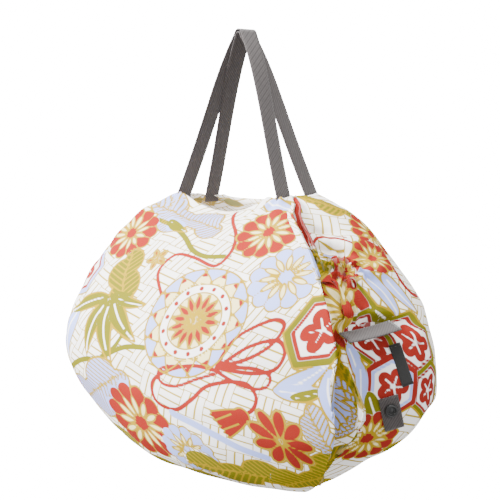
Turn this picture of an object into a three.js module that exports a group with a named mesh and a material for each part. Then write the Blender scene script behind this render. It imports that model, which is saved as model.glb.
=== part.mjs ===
// Foldable cloth shopping bag hanging by its two webbing handles.
// Millimetres, +Z up. X runs along the bag, Y through its depth with the front at -Y.
// The origin is the hang point, at the underside of the handles' crown.

import * as THREE from 'three';
import { mergeVertices } from 'three/addons/utils/BufferGeometryUtils.js';

// Driving dimensions.
const CLOTH = 1.6;               // cloth thickness
const HEM_Z = -170;              // height of the mouth's hem below the hang point
const HEM_HALF_LENGTH = 80;      // mouth, half length along X
const HEM_HALF_DEPTH = 30;       // mouth, half depth along Y
const HEM_SAG_FRONT = 11;        // how far the front hem dips between the handles
const HEM_SAG_BACK = 5;
const HEM_LIFT = 2;              // the hem rises towards two opposite corners
const HEM_CORNER = 12;           // straight part of the hem beside each handle
const HEM_REACH = 0.18;          // share of the height over which the dips fade
const BOX_REACH = 0.1;           // share of the height over which the mouth stays boxy
const BASE_TILT = 0.04;          // the full body hangs lower towards its right end
const TILT_START = 0.35;         // share of the height where that tilt begins
const TILT_REACH = 0.5;
const LEFT_BACK_SHARE = 0.3;     // share of the left end's extra reach left at its back edge
const WEBBING_WIDTH = 19;
const WEBBING_THICKNESS = 1.4;
const SEAT_GAP = 0.3;            // clearance between pieces that touch
const HANDLE_Y = 20;             // centre of each handle end, along the mouth's end
const CROWN_RADIUS = 4.5;        // inside radius where the handles pass over their support
const CROWN_STEP = 2.9;          // centre distance of the two nested handles
const CROWN_TURN = 77;           // degrees from X to the webbing's width at the crown
const HANDLE_TWIST = 0.6;        // share of a leg over which its width turns straight
const BACK_FOOT_INSET = 1.4;     // the back handle's ends sit this far inside the hem's ends
const CREASE_DROP = 116;         // drop of the crease that holds the pull tapes
const TAPE_FRONT = { out: 2.5, y: -50, rise: -3.5 };
const TAPE_BACK = { out: 14, y: 6, rise: 4 };
const TAPE_SLOPE = { x: 17, y: 2.5, z: -5 };
const TRIM_THICKNESS = 1.2;
const SNAP_DIAMETER = 13;
const SNAP_CHAMFER = 1;
const SNAP_HEIGHT = 3;
const SNAP_RISE = 3;             // the snap sits this far above the middle of its tab

// Strips lying on the right end. level is the share of the height, lean is in degrees.
const TAB = { length: 33, width: 19, level: 0.585, y: -6, lean: 8, lift: 0.4 };
const LABEL = { length: 40, width: 12, level: 0.475, y: 3, lean: 14, lift: 0.7 };

// Mesh fineness.
const PANEL_STEPS = 26;          // segments across the front and across the back
const FOLD_STEPS = 3;            // segments between two named folds of an end
const LEVEL_STEPS = 25;          // rings from the hem to the base
const CROWN_STEPS = 5;
const LEG_STEPS = 14;
const TAPE_STEPS = 8;

// Shape of the panels: the arch is soft, the mouth's box has tight corners.
const ARCH_POWER = 2.6;
const BOX_POWER = 8;
const PANEL_SAMPLES = 160;

// Sections of the hanging bag, one row a level, in millimetres. drop is measured down
// from the hem. ridge is the front edge of the right end, pocket the floor of the tuck
// behind it, flap the edge that closes the tuck, under the fold behind the flap, cheek
// and rear the rounded end, corner its back edge, belly the half depth at the middle,
// and left the reach of the left end. Values are X unless the name ends in Y.
const COLUMNS = [
  'drop', 'ridge', 'ridgeY', 'pocket', 'flap', 'flapY',
  'under', 'cheek', 'rear', 'corner', 'belly', 'left',
];
const ROWS = [
  [0, 80, 10, 77, 79.5, 5, 77, 79, 80, 80, 30, 80],
  [7, 99, 24, 90, 98, 15, 92, 100, 104, 101, 37, 104],
  [16, 113, 37, 97, 112, 29, 104, 116, 121, 117, 48, 127],
  [31, 131, 45, 111, 130, 36, 120, 137, 143, 135, 65, 145],
  [46, 147, 51, 126, 146, 42, 134, 155, 161, 149, 80, 162],
  [66, 165, 58, 148, 163, 45, 150, 171, 179, 165, 98, 179],
  [86, 180, 65, 174, 180, 42, 168, 184, 194, 179, 112, 193],
  [104, 189, 68, 182, 189, 43, 179, 191, 205, 189, 121, 204],
  [116, 193, 68, 173, 180, 46, 178, 180, 210, 192, 126, 213],
  [128, 196, 68, 160, 183, 47, 180, 200, 214, 194, 131, 223],
  [146, 199, 70, 152, 191, 49, 188, 213, 218, 197, 135, 234],
  [166, 199, 71, 150, 204, 49, 192, 216, 221, 199, 138, 238],
  [186, 198, 70, 164, 211, 47, 192, 215, 220, 199, 139, 230],
  [206, 192, 65, 172, 198, 43, 182, 207, 210, 188, 136, 215],
  [226, 181, 58, 166, 177, 38, 166, 192, 189, 166, 130, 196],
  [244, 167, 50, 152, 158, 33, 150, 170, 163, 142, 121, 180],
  [260, 152, 42, 138, 142, 27, 138, 149, 141, 121, 108, 164],
  [273, 134, 34, 126, 129, 20, 126, 129, 121, 102, 88, 142],
  [282, 106, 24, 102, 102, 13, 101, 102, 96, 80, 58, 110],
  [286, 64, 11, 63, 63, 6, 63, 64, 60, 52, 26, 66],
];
const SECTIONS = ROWS.map((row) => Object.fromEntries(row.map((v, i) => [COLUMNS[i], v])));

const degrees = (angle) => (angle * Math.PI) / 180;
const mix = (a, b, share) => a + (b - a) * share;
const clamp01 = (value) => Math.min(1, Math.max(0, value));
const ease = (value) => clamp01(value) ** 2 * (3 - 2 * clamp01(value));

// Level positions from 0 at the hem to 1 at the base, spaced by the cloth's own length.
function levelKnots() {
  const lengths = [0];
  for (let i = 1; i < SECTIONS.length; i += 1) {
    const down = SECTIONS[i].drop - SECTIONS[i - 1].drop;
    const out = SECTIONS[i].belly - SECTIONS[i - 1].belly;
    lengths.push(lengths[i - 1] + Math.hypot(down, out));
  }
  return lengths.map((length) => length / lengths[lengths.length - 1]);
}

// Slopes for a curve through the table that never overshoots its values.
function steadySlopes(knots, values) {
  const last = values.length - 1;
  const rise = (i) => (values[i + 1] - values[i]) / (knots[i + 1] - knots[i]);
  return values.map((value, i) => {
    if (i === 0) return rise(0);
    if (i === last) return rise(last - 1);
    const before = rise(i - 1);
    const after = rise(i);
    if (before * after <= 0) return 0;
    const heavy = 2 * (knots[i + 1] - knots[i]) + (knots[i] - knots[i - 1]);
    const light = (knots[i + 1] - knots[i]) + 2 * (knots[i] - knots[i - 1]);
    return (heavy + light) / (heavy / before + light / after);
  });
}

const KNOTS = levelKnots();
const SLOPES = {};
for (const column of COLUMNS) {
  SLOPES[column] = steadySlopes(KNOTS, SECTIONS.map((row) => row[column]));
}

// The section at a level, read from the table.
function sectionAt(level) {
  let i = 0;
  while (i < KNOTS.length - 2 && level > KNOTS[i + 1]) i += 1;
  const span = KNOTS[i + 1] - KNOTS[i];
  const s = (level - KNOTS[i]) / span;
  const section = {};
  for (const column of COLUMNS) {
    const start = SECTIONS[i][column];
    const end = SECTIONS[i + 1][column];
    const blend = s * s * (3 - 2 * s);
    const leave = s * (1 - s) ** 2 * span * SLOPES[column][i];
    const arrive = s * s * (s - 1) * span * SLOPES[column][i + 1];
    section[column] = mix(start, end, blend) + leave + arrive;
  }
  return section;
}

// The same number of points, evenly spaced along a line of points.
function respace(points, steps) {
  const along = [0];
  for (let i = 1; i < points.length; i += 1) {
    along.push(along[i - 1] + points[i].distanceTo(points[i - 1]));
  }
  const result = [];
  let k = 0;
  for (let i = 0; i <= steps; i += 1) {
    const want = (along[along.length - 1] * i) / steps;
    while (k < points.length - 2 && along[k + 1] < want) k += 1;
    const share = (want - along[k]) / (along[k + 1] - along[k]);
    result.push(points[k].clone().lerp(points[k + 1], clamp01(share)));
  }
  return result;
}

// A bowed panel between two edges. Near the hem it is a rounded box, lower down an arch.
function panel(start, end, belly, boxShare) {
  const side = Math.sign(start.y);
  const points = [];
  for (let i = 0; i <= PANEL_SAMPLES; i += 1) {
    const turn = mix(-Math.PI / 2, Math.PI / 2, i / PANEL_SAMPLES);
    const archAcross = Math.sin(turn);
    const archOut = 1 - Math.abs(archAcross) ** ARCH_POWER;
    const boxAcross = Math.sign(turn) * Math.abs(Math.sin(turn)) ** (2 / BOX_POWER);
    const boxOut = Math.abs(Math.cos(turn)) ** (2 / BOX_POWER);
    const across = mix(archAcross, boxAcross, boxShare);
    const out = mix(archOut, boxOut, boxShare);
    const base = mix(Math.abs(start.y), Math.abs(end.y), (across + 1) / 2);
    const x = mix(start.x, end.x, (across + 1) / 2);
    points.push(new THREE.Vector2(x, side * mix(base, belly, out)));
  }
  return respace(points, PANEL_STEPS);
}

// A smooth line through the given points, with the same number of steps in each stretch.
function smoothLine(points) {
  const curve = new THREE.SplineCurve(points);
  return curve.getPoints((points.length - 1) * FOLD_STEPS);
}

// The right end from the front edge to the back edge: tuck, flap, then the rounded end.
function endFolds(s) {
  const place = (x, y) => new THREE.Vector2(x, -y);
  const underShare = 0.68;
  const rearShare = 0.5;
  const ridge = place(s.ridge, s.ridgeY);
  const pocket = place(s.pocket, (s.ridgeY + s.flapY) / 2);
  const flap = place(s.flap, s.flapY);
  const under = place(s.under, s.flapY * underShare);
  const cheek = place(s.cheek, 0);
  const rear = place(s.rear, -s.ridgeY * rearShare);
  const corner = place(s.corner, -s.ridgeY);
  const tuck = smoothLine([ridge, pocket, flap]);
  const rounded = smoothLine([flap, under, cheek, rear, corner]);
  return tuck.concat(rounded.slice(1));
}

// Height of the cloth at a place of a level: hem dips and lifts fade downwards.
function heightAt(section, level, x, y) {
  const dipFade = (1 - clamp01(level / HEM_REACH)) ** 2;
  const liftFade = dipFade * clamp01(1 - level / BOX_REACH);
  const between = 1 - Math.min(1, Math.abs(x) / (HEM_HALF_LENGTH - HEM_CORNER)) ** 2;
  const sag = (y < 0 ? HEM_SAG_FRONT : HEM_SAG_BACK) * between;
  const lift = HEM_LIFT * (1 + (x * y) / (HEM_HALF_LENGTH * HEM_HALF_DEPTH));
  const tilt = ease((level - TILT_START) / TILT_REACH) * BASE_TILT * x;
  return HEM_Z - section.drop + liftFade * lift - dipFade * sag - tilt;
}

// How much further than the right end the left end reaches, at a depth of a section.
function leftExtra(section, y) {
  const towardsBack = (y + section.ridgeY) / (2 * section.ridgeY);
  return (section.left - section.ridge) * mix(1, LEFT_BACK_SHARE, towardsBack);
}

// One closed ring of the bag: front, right end, back, left end.
function ringAt(level) {
  const section = sectionAt(level);
  const right = endFolds(section);
  const mirrored = right.map((p) => new THREE.Vector2(-p.x - leftExtra(section, p.y), p.y));
  const left = mirrored.reverse();
  const boxShare = (1 - clamp01(level / BOX_REACH)) ** 2;
  const front = panel(left[left.length - 1], right[0], section.belly, boxShare);
  const back = panel(left[0], right[right.length - 1], section.belly, boxShare).reverse();
  const loop = [];
  for (const run of [front, right, back, left]) loop.push(...run.slice(0, -1));
  return loop.map((p) => new THREE.Vector3(p.x, p.y, heightAt(section, level, p.x, p.y)));
}

function bagRings() {
  const rings = [];
  for (let i = 0; i <= LEVEL_STEPS; i += 1) rings.push(ringAt(i / LEVEL_STEPS));
  return rings;
}

// Outward direction at each point of the rings.
function ringNormals(rings) {
  return rings.map((ring, i) => ring.map((point, j) => {
    const count = ring.length;
    const above = rings[Math.max(0, i - 1)][j];
    const below = rings[Math.min(rings.length - 1, i + 1)][j];
    const before = ring[(j + count - 1) % count];
    const after = ring[(j + 1) % count];
    const across = after.clone().sub(before);
    const down = below.clone().sub(above);
    return down.cross(across).normalize();
  }));
}

// A closed body from triangles given as points, turned so that its faces point out.
function bodyFromTriangles(triangles) {
  const volume = triangles.reduce((sum, [a, b, c]) => sum + a.dot(b.clone().cross(c)) / 6, 0);
  const faces = volume > 0 ? triangles : triangles.map(([a, b, c]) => [a, c, b]);
  const positions = new Float32Array(faces.length * 9);
  faces.flat().forEach((p, i) => p.toArray(positions, i * 3));
  const geometry = new THREE.BufferGeometry();
  geometry.setAttribute('position', new THREE.BufferAttribute(positions, 3));
  return mergeVertices(geometry, 1e-4);
}

function quad(a, b, c, d) {
  return [[a, b, c], [a, c, d]];
}

// The middle of a ring, and the fan of triangles that closes it.
function fan(ring, facingDown) {
  const middle = new THREE.Vector3();
  for (const p of ring) middle.addScaledVector(p, 1 / ring.length);
  return ring.map((p, j) => {
    const next = ring[(j + 1) % ring.length];
    return facingDown ? [p, middle, next] : [next, middle, p];
  });
}

// The bag's cloth: outer skin, inner skin and the hem's edge, as one hollow body.
function bagBody() {
  const outer = bagRings();
  const normals = ringNormals(outer);
  const inner = outer.map((ring, i) => ring.map((p, j) => {
    const n = normals[i][j].clone();
    if (i === 0) n.setZ(0).normalize();
    return p.clone().addScaledVector(n, -CLOTH);
  }));
  const triangles = [];
  const count = outer[0].length;
  for (let j = 0; j < count; j += 1) {
    const k = (j + 1) % count;
    triangles.push(...quad(outer[0][j], outer[0][k], inner[0][k], inner[0][j]));
    for (let i = 0; i < LEVEL_STEPS; i += 1) {
      triangles.push(...quad(outer[i][j], outer[i + 1][j], outer[i + 1][k], outer[i][k]));
      triangles.push(...quad(inner[i][k], inner[i + 1][k], inner[i + 1][j], inner[i][j]));
    }
  }
  triangles.push(...fan(outer[LEVEL_STEPS], true), ...fan(inner[LEVEL_STEPS], false));
  return bodyFromTriangles(triangles);
}

// A flat band swept along stations, each with a centre, a width and a thickness direction.
function bandBody(stations, width, thickness) {
  const corners = stations.map(({ centre, across, up }) => {
    const a = across.clone().multiplyScalar(width / 2);
    const u = up.clone().multiplyScalar(thickness / 2);
    return [
      centre.clone().sub(a).sub(u), centre.clone().add(a).sub(u),
      centre.clone().add(a).add(u), centre.clone().sub(a).add(u),
    ];
  });
  const triangles = [];
  for (let i = 0; i < corners.length - 1; i += 1) {
    for (let j = 0; j < 4; j += 1) {
      const k = (j + 1) % 4;
      triangles.push(...quad(corners[i][j], corners[i][k], corners[i + 1][k], corners[i + 1][j]));
    }
  }
  const first = corners[0];
  const last = corners[corners.length - 1];
  triangles.push(...quad(first[3], first[2], first[1], first[0]));
  triangles.push(...quad(last[0], last[1], last[2], last[3]));
  return bodyFromTriangles(triangles);
}

// Stations along a path, with the width turning smoothly between two directions.
function bandStations(path, widthAt) {
  return path.map((centre, i) => {
    const before = path[Math.max(0, i - 1)];
    const after = path[Math.min(path.length - 1, i + 1)];
    const along = after.clone().sub(before).normalize();
    const wanted = widthAt(i / (path.length - 1));
    const across = wanted.addScaledVector(along, -wanted.dot(along)).normalize();
    const up = across.clone().cross(along).normalize();
    return { centre, across, up };
  });
}

// The middle of a handle's foot and the slope of the hem under it, clear of the hem.
function footOf(end, side, footX) {
  const hem = sectionAt(0);
  const rim = (y) => heightAt(hem, 0, end * footX, y);
  const y = side * HANDLE_Y;
  const near = rim(y - WEBBING_WIDTH / 2);
  const far = rim(y + WEBBING_WIDTH / 2);
  const centre = new THREE.Vector3(end * footX, y, (near + far) / 2 + SEAT_GAP);
  const across = new THREE.Vector3(0, WEBBING_WIDTH, far - near).normalize();
  return { centre, across };
}

// A handle: up from the left end of the mouth, over the crown and down to the right end.
function handleBody(side, crownRadius, footX) {
  const crownWidth = degrees(CROWN_TURN);
  const crownAlong = new THREE.Vector3(Math.sin(crownWidth), -Math.cos(crownWidth), 0);
  const centre = new THREE.Vector3(0, 0, -CROWN_RADIUS);
  const leg = (end) => {
    const foot = footOf(end, side, footX).centre;
    const flatReach = end * foot.dot(crownAlong);
    const lean = Math.atan2(centre.z - foot.z, flatReach);
    const points = [];
    for (let i = 1; i <= CROWN_STEPS; i += 1) {
      const turn = (lean * i) / CROWN_STEPS;
      points.push(centre.clone()
        .addScaledVector(crownAlong, end * crownRadius * Math.sin(turn))
        .add(new THREE.Vector3(0, 0, crownRadius * Math.cos(turn))));
    }
    const top = points[points.length - 1];
    for (let i = 1; i <= LEG_STEPS; i += 1) {
      points.push(top.clone().lerp(foot, i / LEG_STEPS));
    }
    return points;
  };
  const crown = centre.clone().add(new THREE.Vector3(0, 0, crownRadius));
  const path = [...leg(-1).reverse(), crown, ...leg(1)];
  const widthAt = (share) => {
    const fromCrown = Math.abs(2 * share - 1);
    const turn = mix(crownWidth, Math.PI / 2, ease(fromCrown / HANDLE_TWIST));
    return new THREE.Vector3(Math.cos(turn), Math.sin(turn), 0);
  };
  const stations = bandStations(path, widthAt);
  const cutLevel = (station, end) => {
    station.across.copy(footOf(end, side, footX).across);
    station.up.set(Math.sign(station.up.x), 0, 0);
  };
  cutLevel(stations[0], -1);
  cutLevel(stations[stations.length - 1], 1);
  return bandBody(stations, WEBBING_WIDTH, WEBBING_THICKNESS);
}

// A place on the right end's rounded part, by level and by depth.
function placeOnEnd(level, y) {
  const flapIndex = PANEL_STEPS + 2 * FOLD_STEPS;
  const cornerIndex = PANEL_STEPS + 6 * FOLD_STEPS;
  const points = ringAt(level).slice(flapIndex, cornerIndex + 1);
  let j = 0;
  while (j < points.length - 2 && points[j + 1].y < y) j += 1;
  const share = (y - points[j].y) / (points[j + 1].y - points[j].y);
  return points[j].clone().lerp(points[j + 1], share);
}

function outwardOnEnd(level, y) {
  const reach = 10;
  const step = 0.02;
  const down = placeOnEnd(level + step, y).sub(placeOnEnd(level - step, y));
  const across = placeOnEnd(level, y + reach).sub(placeOnEnd(level, y - reach));
  const out = across.clone().cross(down).normalize();
  return out.x > 0 ? out : out.negate();
}

// A flat strip lying on the right end, its long side leaning from straight down.
function stripOnEnd({ length, width, level, y, lean, lift }) {
  const out = outwardOnEnd(level, y);
  const down = new THREE.Vector3(0, 0, -1).addScaledVector(out, out.z).normalize();
  down.applyAxisAngle(out, degrees(lean));
  const centre = placeOnEnd(level, y).addScaledVector(out, lift + TRIM_THICKNESS / 2);
  const stations = [-0.5, -0.25, 0, 0.25, 0.5].map((share) => ({
    centre: centre.clone().addScaledVector(down, share * length),
    across: out.clone().cross(down).normalize(),
    up: out.clone().negate(),
  }));
  return { geometry: bandBody(stations, width, TRIM_THICKNESS), centre, out, down };
}

// The pull tape: a straight band held at both ends in the crease across an end of the bag.
function tapeBody(end) {
  const crease = SECTIONS.find((row) => row.drop === CREASE_DROP);
  const creaseZ = HEM_Z - CREASE_DROP;
  const edgeAt = (x, { out, y, rise }) => new THREE.Vector3(x + out, y, creaseZ + rise);
  const frontEdge = edgeAt(crease.flap, TAPE_FRONT);
  const backEdge = edgeAt(crease.cheek, TAPE_BACK);
  const along = backEdge.clone().sub(frontEdge).normalize();
  const across = new THREE.Vector3(TAPE_SLOPE.x, TAPE_SLOPE.y, TAPE_SLOPE.z);
  across.addScaledVector(along, -across.dot(along)).normalize();
  const up = across.clone().cross(along).normalize();
  const stations = [];
  for (let i = 0; i <= TAPE_STEPS; i += 1) {
    const centre = frontEdge.clone().lerp(backEdge, i / TAPE_STEPS);
    if (end < 0) centre.x += leftExtra(crease, centre.y);
    centre.addScaledVector(across, WEBBING_WIDTH / 2);
    stations.push({ centre, across: across.clone(), up: up.clone() });
  }
  if (end < 0) {
    for (const vector of stations.flatMap((s) => Object.values(s))) vector.setX(-vector.x);
  }
  return bandBody(stations, WEBBING_WIDTH, WEBBING_THICKNESS);
}

const matte = (color, roughness) => (
  new THREE.MeshStandardMaterial({ color, roughness, metalness: 0 })
);
const cloth = matte(0xe9e2da, 0.85);
const webbing = matte(0x6c6463, 0.9);
const labelCloth = matte(0x14120f, 0.7);
const snapPlastic = matte(0x0c0c0d, 0.35);

const bag = new THREE.Group();

function addPiece(name, geometry, material) {
  const mesh = new THREE.Mesh(geometry, material);
  mesh.name = name;
  bag.add(mesh);
  return mesh;
}

addPiece('bag_body', bagBody(), cloth);

const backCrown = CROWN_RADIUS + WEBBING_THICKNESS / 2;
const frontCrown = backCrown + CROWN_STEP;
const backFoot = HEM_HALF_LENGTH - BACK_FOOT_INSET;
addPiece('handle_front', handleBody(-1, frontCrown, HEM_HALF_LENGTH), webbing);
addPiece('handle_back', handleBody(1, backCrown, backFoot), webbing);

addPiece('pull_tape_right', tapeBody(1), webbing);
addPiece('pull_tape_left', tapeBody(-1), webbing);

const tab = stripOnEnd(TAB);
addPiece('snap_tab', tab.geometry, webbing);

const label = stripOnEnd(LABEL);
addPiece('label_strip', label.geometry, labelCloth);

const snapGeometry = new THREE.CylinderGeometry(
  SNAP_DIAMETER / 2 - SNAP_CHAMFER, SNAP_DIAMETER / 2, SNAP_HEIGHT, 32,
);
snapGeometry.deleteAttribute('normal');
snapGeometry.deleteAttribute('uv');
const snap = addPiece('snap_button', mergeVertices(snapGeometry, 1e-4), snapPlastic);
const snapLift = TRIM_THICKNESS / 2 + SEAT_GAP + SNAP_HEIGHT / 2;
snap.position.copy(tab.centre)
  .addScaledVector(tab.out, snapLift)
  .addScaledVector(tab.down, -SNAP_RISE);
snap.quaternion.setFromUnitVectors(new THREE.Vector3(0, 1, 0), tab.out);

export default bag;
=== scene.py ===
"""Foldable cloth shopping bag, hanging full and round by its two webbing handles.

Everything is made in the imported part's frame: X along the bag, Y through its depth with the
front at -Y, Z up, and the origin at the hang point under the handles' crown. Shapes are worked
out in millimetres and become metres where a mesh is made.
"""

from __future__ import annotations

import logging
import math
from dataclasses import dataclass, field
from enum import Enum

import bpy
import numpy as np
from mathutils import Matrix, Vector

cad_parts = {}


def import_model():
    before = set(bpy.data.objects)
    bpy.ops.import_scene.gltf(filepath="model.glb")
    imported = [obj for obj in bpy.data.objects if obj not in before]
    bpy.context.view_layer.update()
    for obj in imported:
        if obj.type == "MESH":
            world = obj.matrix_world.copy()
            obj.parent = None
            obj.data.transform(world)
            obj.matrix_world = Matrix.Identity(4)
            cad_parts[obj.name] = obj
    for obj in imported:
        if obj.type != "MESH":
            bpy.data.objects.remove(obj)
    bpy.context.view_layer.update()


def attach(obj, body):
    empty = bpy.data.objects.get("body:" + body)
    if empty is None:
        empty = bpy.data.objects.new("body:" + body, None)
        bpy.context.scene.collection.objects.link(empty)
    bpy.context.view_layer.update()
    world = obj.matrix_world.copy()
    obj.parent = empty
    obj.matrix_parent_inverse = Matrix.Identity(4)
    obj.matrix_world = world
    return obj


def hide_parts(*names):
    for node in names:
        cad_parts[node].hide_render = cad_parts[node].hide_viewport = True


LOG = logging.getLogger("shopping_bag")
MM = 0.001
BODY = "root"
# Signed distance of cloth that no motif reaches, in millimetres.
FAR = 60.0
# How far the middle of a stitch lies above its band, in millimetres.
STITCH_RISE = 0.1
# Middle of the gathered bunch, across and down the right end's print, in millimetres.
KNOT = (-22.0, 96.0)
# First columns of the print values kept at each corner of the cloth's faces.
PRINT_BLOCKS = {"print_fill": 2, "print_under": 5, "print_over": 8}
INSIDE_COLUMN = 10

# Sections of the bag from the hem down, in millimetres: how far below the hem each one lies, and
# how far out its ridges, tuck, flap, rounded end and belly reach.
SECTION_COLUMNS = (
    "drop", "ridge", "ridge_y", "pocket", "flap", "flap_y",
    "under", "cheek", "rear", "corner", "belly", "left",
)
SECTION_ROWS = (
    (0, 80, 10, 77, 79.5, 5, 77, 79, 80, 80, 30, 80),
    (7, 99, 24, 90, 98, 15, 92, 100, 104, 101, 37, 104),
    (16, 113, 37, 97, 112, 29, 104, 116, 121, 117, 48, 127),
    (31, 131, 45, 111, 130, 36, 120, 137, 143, 135, 65, 145),
    (46, 147, 51, 126, 146, 42, 134, 155, 161, 149, 80, 162),
    (66, 165, 58, 148, 163, 45, 150, 171, 179, 165, 98, 179),
    (86, 180, 65, 174, 180, 42, 168, 184, 194, 179, 112, 193),
    (104, 189, 68, 182, 189, 43, 179, 191, 205, 189, 121, 204),
    (116, 193, 68, 173, 180, 46, 178, 180, 210, 192, 126, 213),
    (128, 196, 68, 160, 183, 47, 180, 200, 214, 194, 131, 223),
    (146, 199, 70, 152, 191, 49, 188, 213, 218, 197, 135, 234),
    (166, 199, 71, 150, 204, 49, 192, 216, 221, 199, 138, 238),
    (186, 198, 70, 164, 211, 47, 192, 215, 220, 199, 139, 230),
    (206, 192, 65, 172, 198, 43, 182, 207, 210, 188, 136, 215),
    (226, 181, 58, 166, 177, 38, 166, 192, 189, 166, 130, 196),
    (244, 167, 50, 152, 158, 33, 150, 170, 163, 142, 121, 180),
    (260, 152, 42, 138, 142, 27, 138, 149, 141, 121, 108, 164),
    (273, 134, 34, 126, 129, 20, 126, 129, 121, 102, 88, 142),
    (282, 106, 24, 102, 102, 13, 101, 102, 96, 80, 58, 110),
    (286, 64, 11, 63, 63, 6, 63, 64, 60, 52, 26, 66),
)


class Zone(Enum):
    """Stretches of cloth with a print of their own, between the tucks and the seams."""

    FRONT = "front"
    RIGHT_END = "right_end"
    BACK = "back"
    LEFT_END = "left_end"


class Ink(Enum):
    """Colours of the print."""

    RED = "red"
    OLIVE = "olive"
    LAVENDER = "lavender"
    GOLD = "gold"


class Tier(Enum):
    """Whether a printed motif lies under its neighbours or over them."""

    UNDER = "under"
    OVER = "over"


Values = float | np.ndarray


def mix(a: Values, b: Values, share: Values) -> Values:
    """Blend two values or arrays."""
    return a + (b - a) * share


def ease(value: Values) -> Values:
    """Smooth step from 0 to 1."""
    held = np.clip(value, 0.0, 1.0)
    return held * held * (3.0 - 2.0 * held)


def unit(vectors: np.ndarray) -> np.ndarray:
    """Directions of length one, along the last axis."""
    length = np.linalg.norm(vectors, axis=-1, keepdims=True)
    return vectors / np.maximum(length, 1e-9)


def square_to(wanted: np.ndarray, tangent: np.ndarray) -> np.ndarray:
    """The directions nearest to the wanted ones that are square to a line's own."""
    return unit(wanted - tangent * (wanted * tangent).sum(-1, keepdims=True))


class SectionTable:
    """Smooth sections of the hanging bag between the rows of its table."""

    def __init__(self, columns: tuple[str, ...], rows: tuple[tuple[float, ...], ...]) -> None:
        """Read the table and work out how far apart its levels lie along the cloth.

        Args:
            columns: Names of the columns.
            rows: Sections from the hem down to the base, in millimetres.
        """
        self.values = {
            name: np.array([row[i] for row in rows], float) for i, name in enumerate(columns)
        }
        steps = np.hypot(np.diff(self.values["drop"]), np.diff(self.values["belly"]))
        along = np.concatenate([[0.0], np.cumsum(steps)])
        self.length = float(along[-1])
        self.knots = along / self.length
        self.slopes = {name: self._steady_slopes(v) for name, v in self.values.items()}

    def _steady_slopes(self, values: np.ndarray) -> np.ndarray:
        """Slopes for a curve that never overshoots the table's values.

        Args:
            values: One column of the table.

        Returns:
            The slope at each row.
        """
        gaps = np.diff(self.knots)
        rise = np.diff(values) / gaps
        slopes = np.concatenate([[rise[0]], np.zeros(len(values) - 2), [rise[-1]]])
        for i in range(1, len(values) - 1):
            before, after = rise[i - 1], rise[i]
            if before * after > 0:
                heavy = 2 * gaps[i] + gaps[i - 1]
                light = gaps[i] + 2 * gaps[i - 1]
                slopes[i] = (heavy + light) / (heavy / before + light / after)
        return slopes

    def at(self, level: np.ndarray) -> dict[str, np.ndarray]:
        """Sections at the given levels.

        Args:
            level: Shares of the height, 0 at the hem and 1 at the base.

        Returns:
            One array for each column.
        """
        i = np.clip(np.searchsorted(self.knots, level, side="right") - 1, 0, len(self.knots) - 2)
        span = self.knots[i + 1] - self.knots[i]
        s = (level - self.knots[i]) / span
        section = {}
        for name, values in self.values.items():
            slope = self.slopes[name]
            blend = mix(values[i], values[i + 1], s * s * (3 - 2 * s))
            leave = s * (1 - s) ** 2 * span * slope[i]
            arrive = s * s * (s - 1) * span * slope[i + 1]
            section[name] = blend + leave + arrive
        return section


@dataclass(frozen=True)
class Swell:
    """A soft random swell of the cloth, made of waves in seeded directions."""

    seed: int
    wavelength: float
    waves: int = 9

    def at(self, points: np.ndarray) -> np.ndarray:
        """Height of the swell.

        Args:
            points: Places in millimetres, in any number of dimensions.

        Returns:
            Values between about -1 and 1.
        """
        chance = np.random.default_rng(self.seed)
        total = np.zeros(points.shape[:-1])
        for _ in range(self.waves):
            direction = unit(chance.normal(size=points.shape[-1]))
            turns = 2 * math.pi / (self.wavelength * chance.uniform(0.7, 1.4))
            total += np.sin(points @ direction * turns + chance.uniform(0, 2 * math.pi))
        return total / math.sqrt(self.waves) * 0.8


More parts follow.
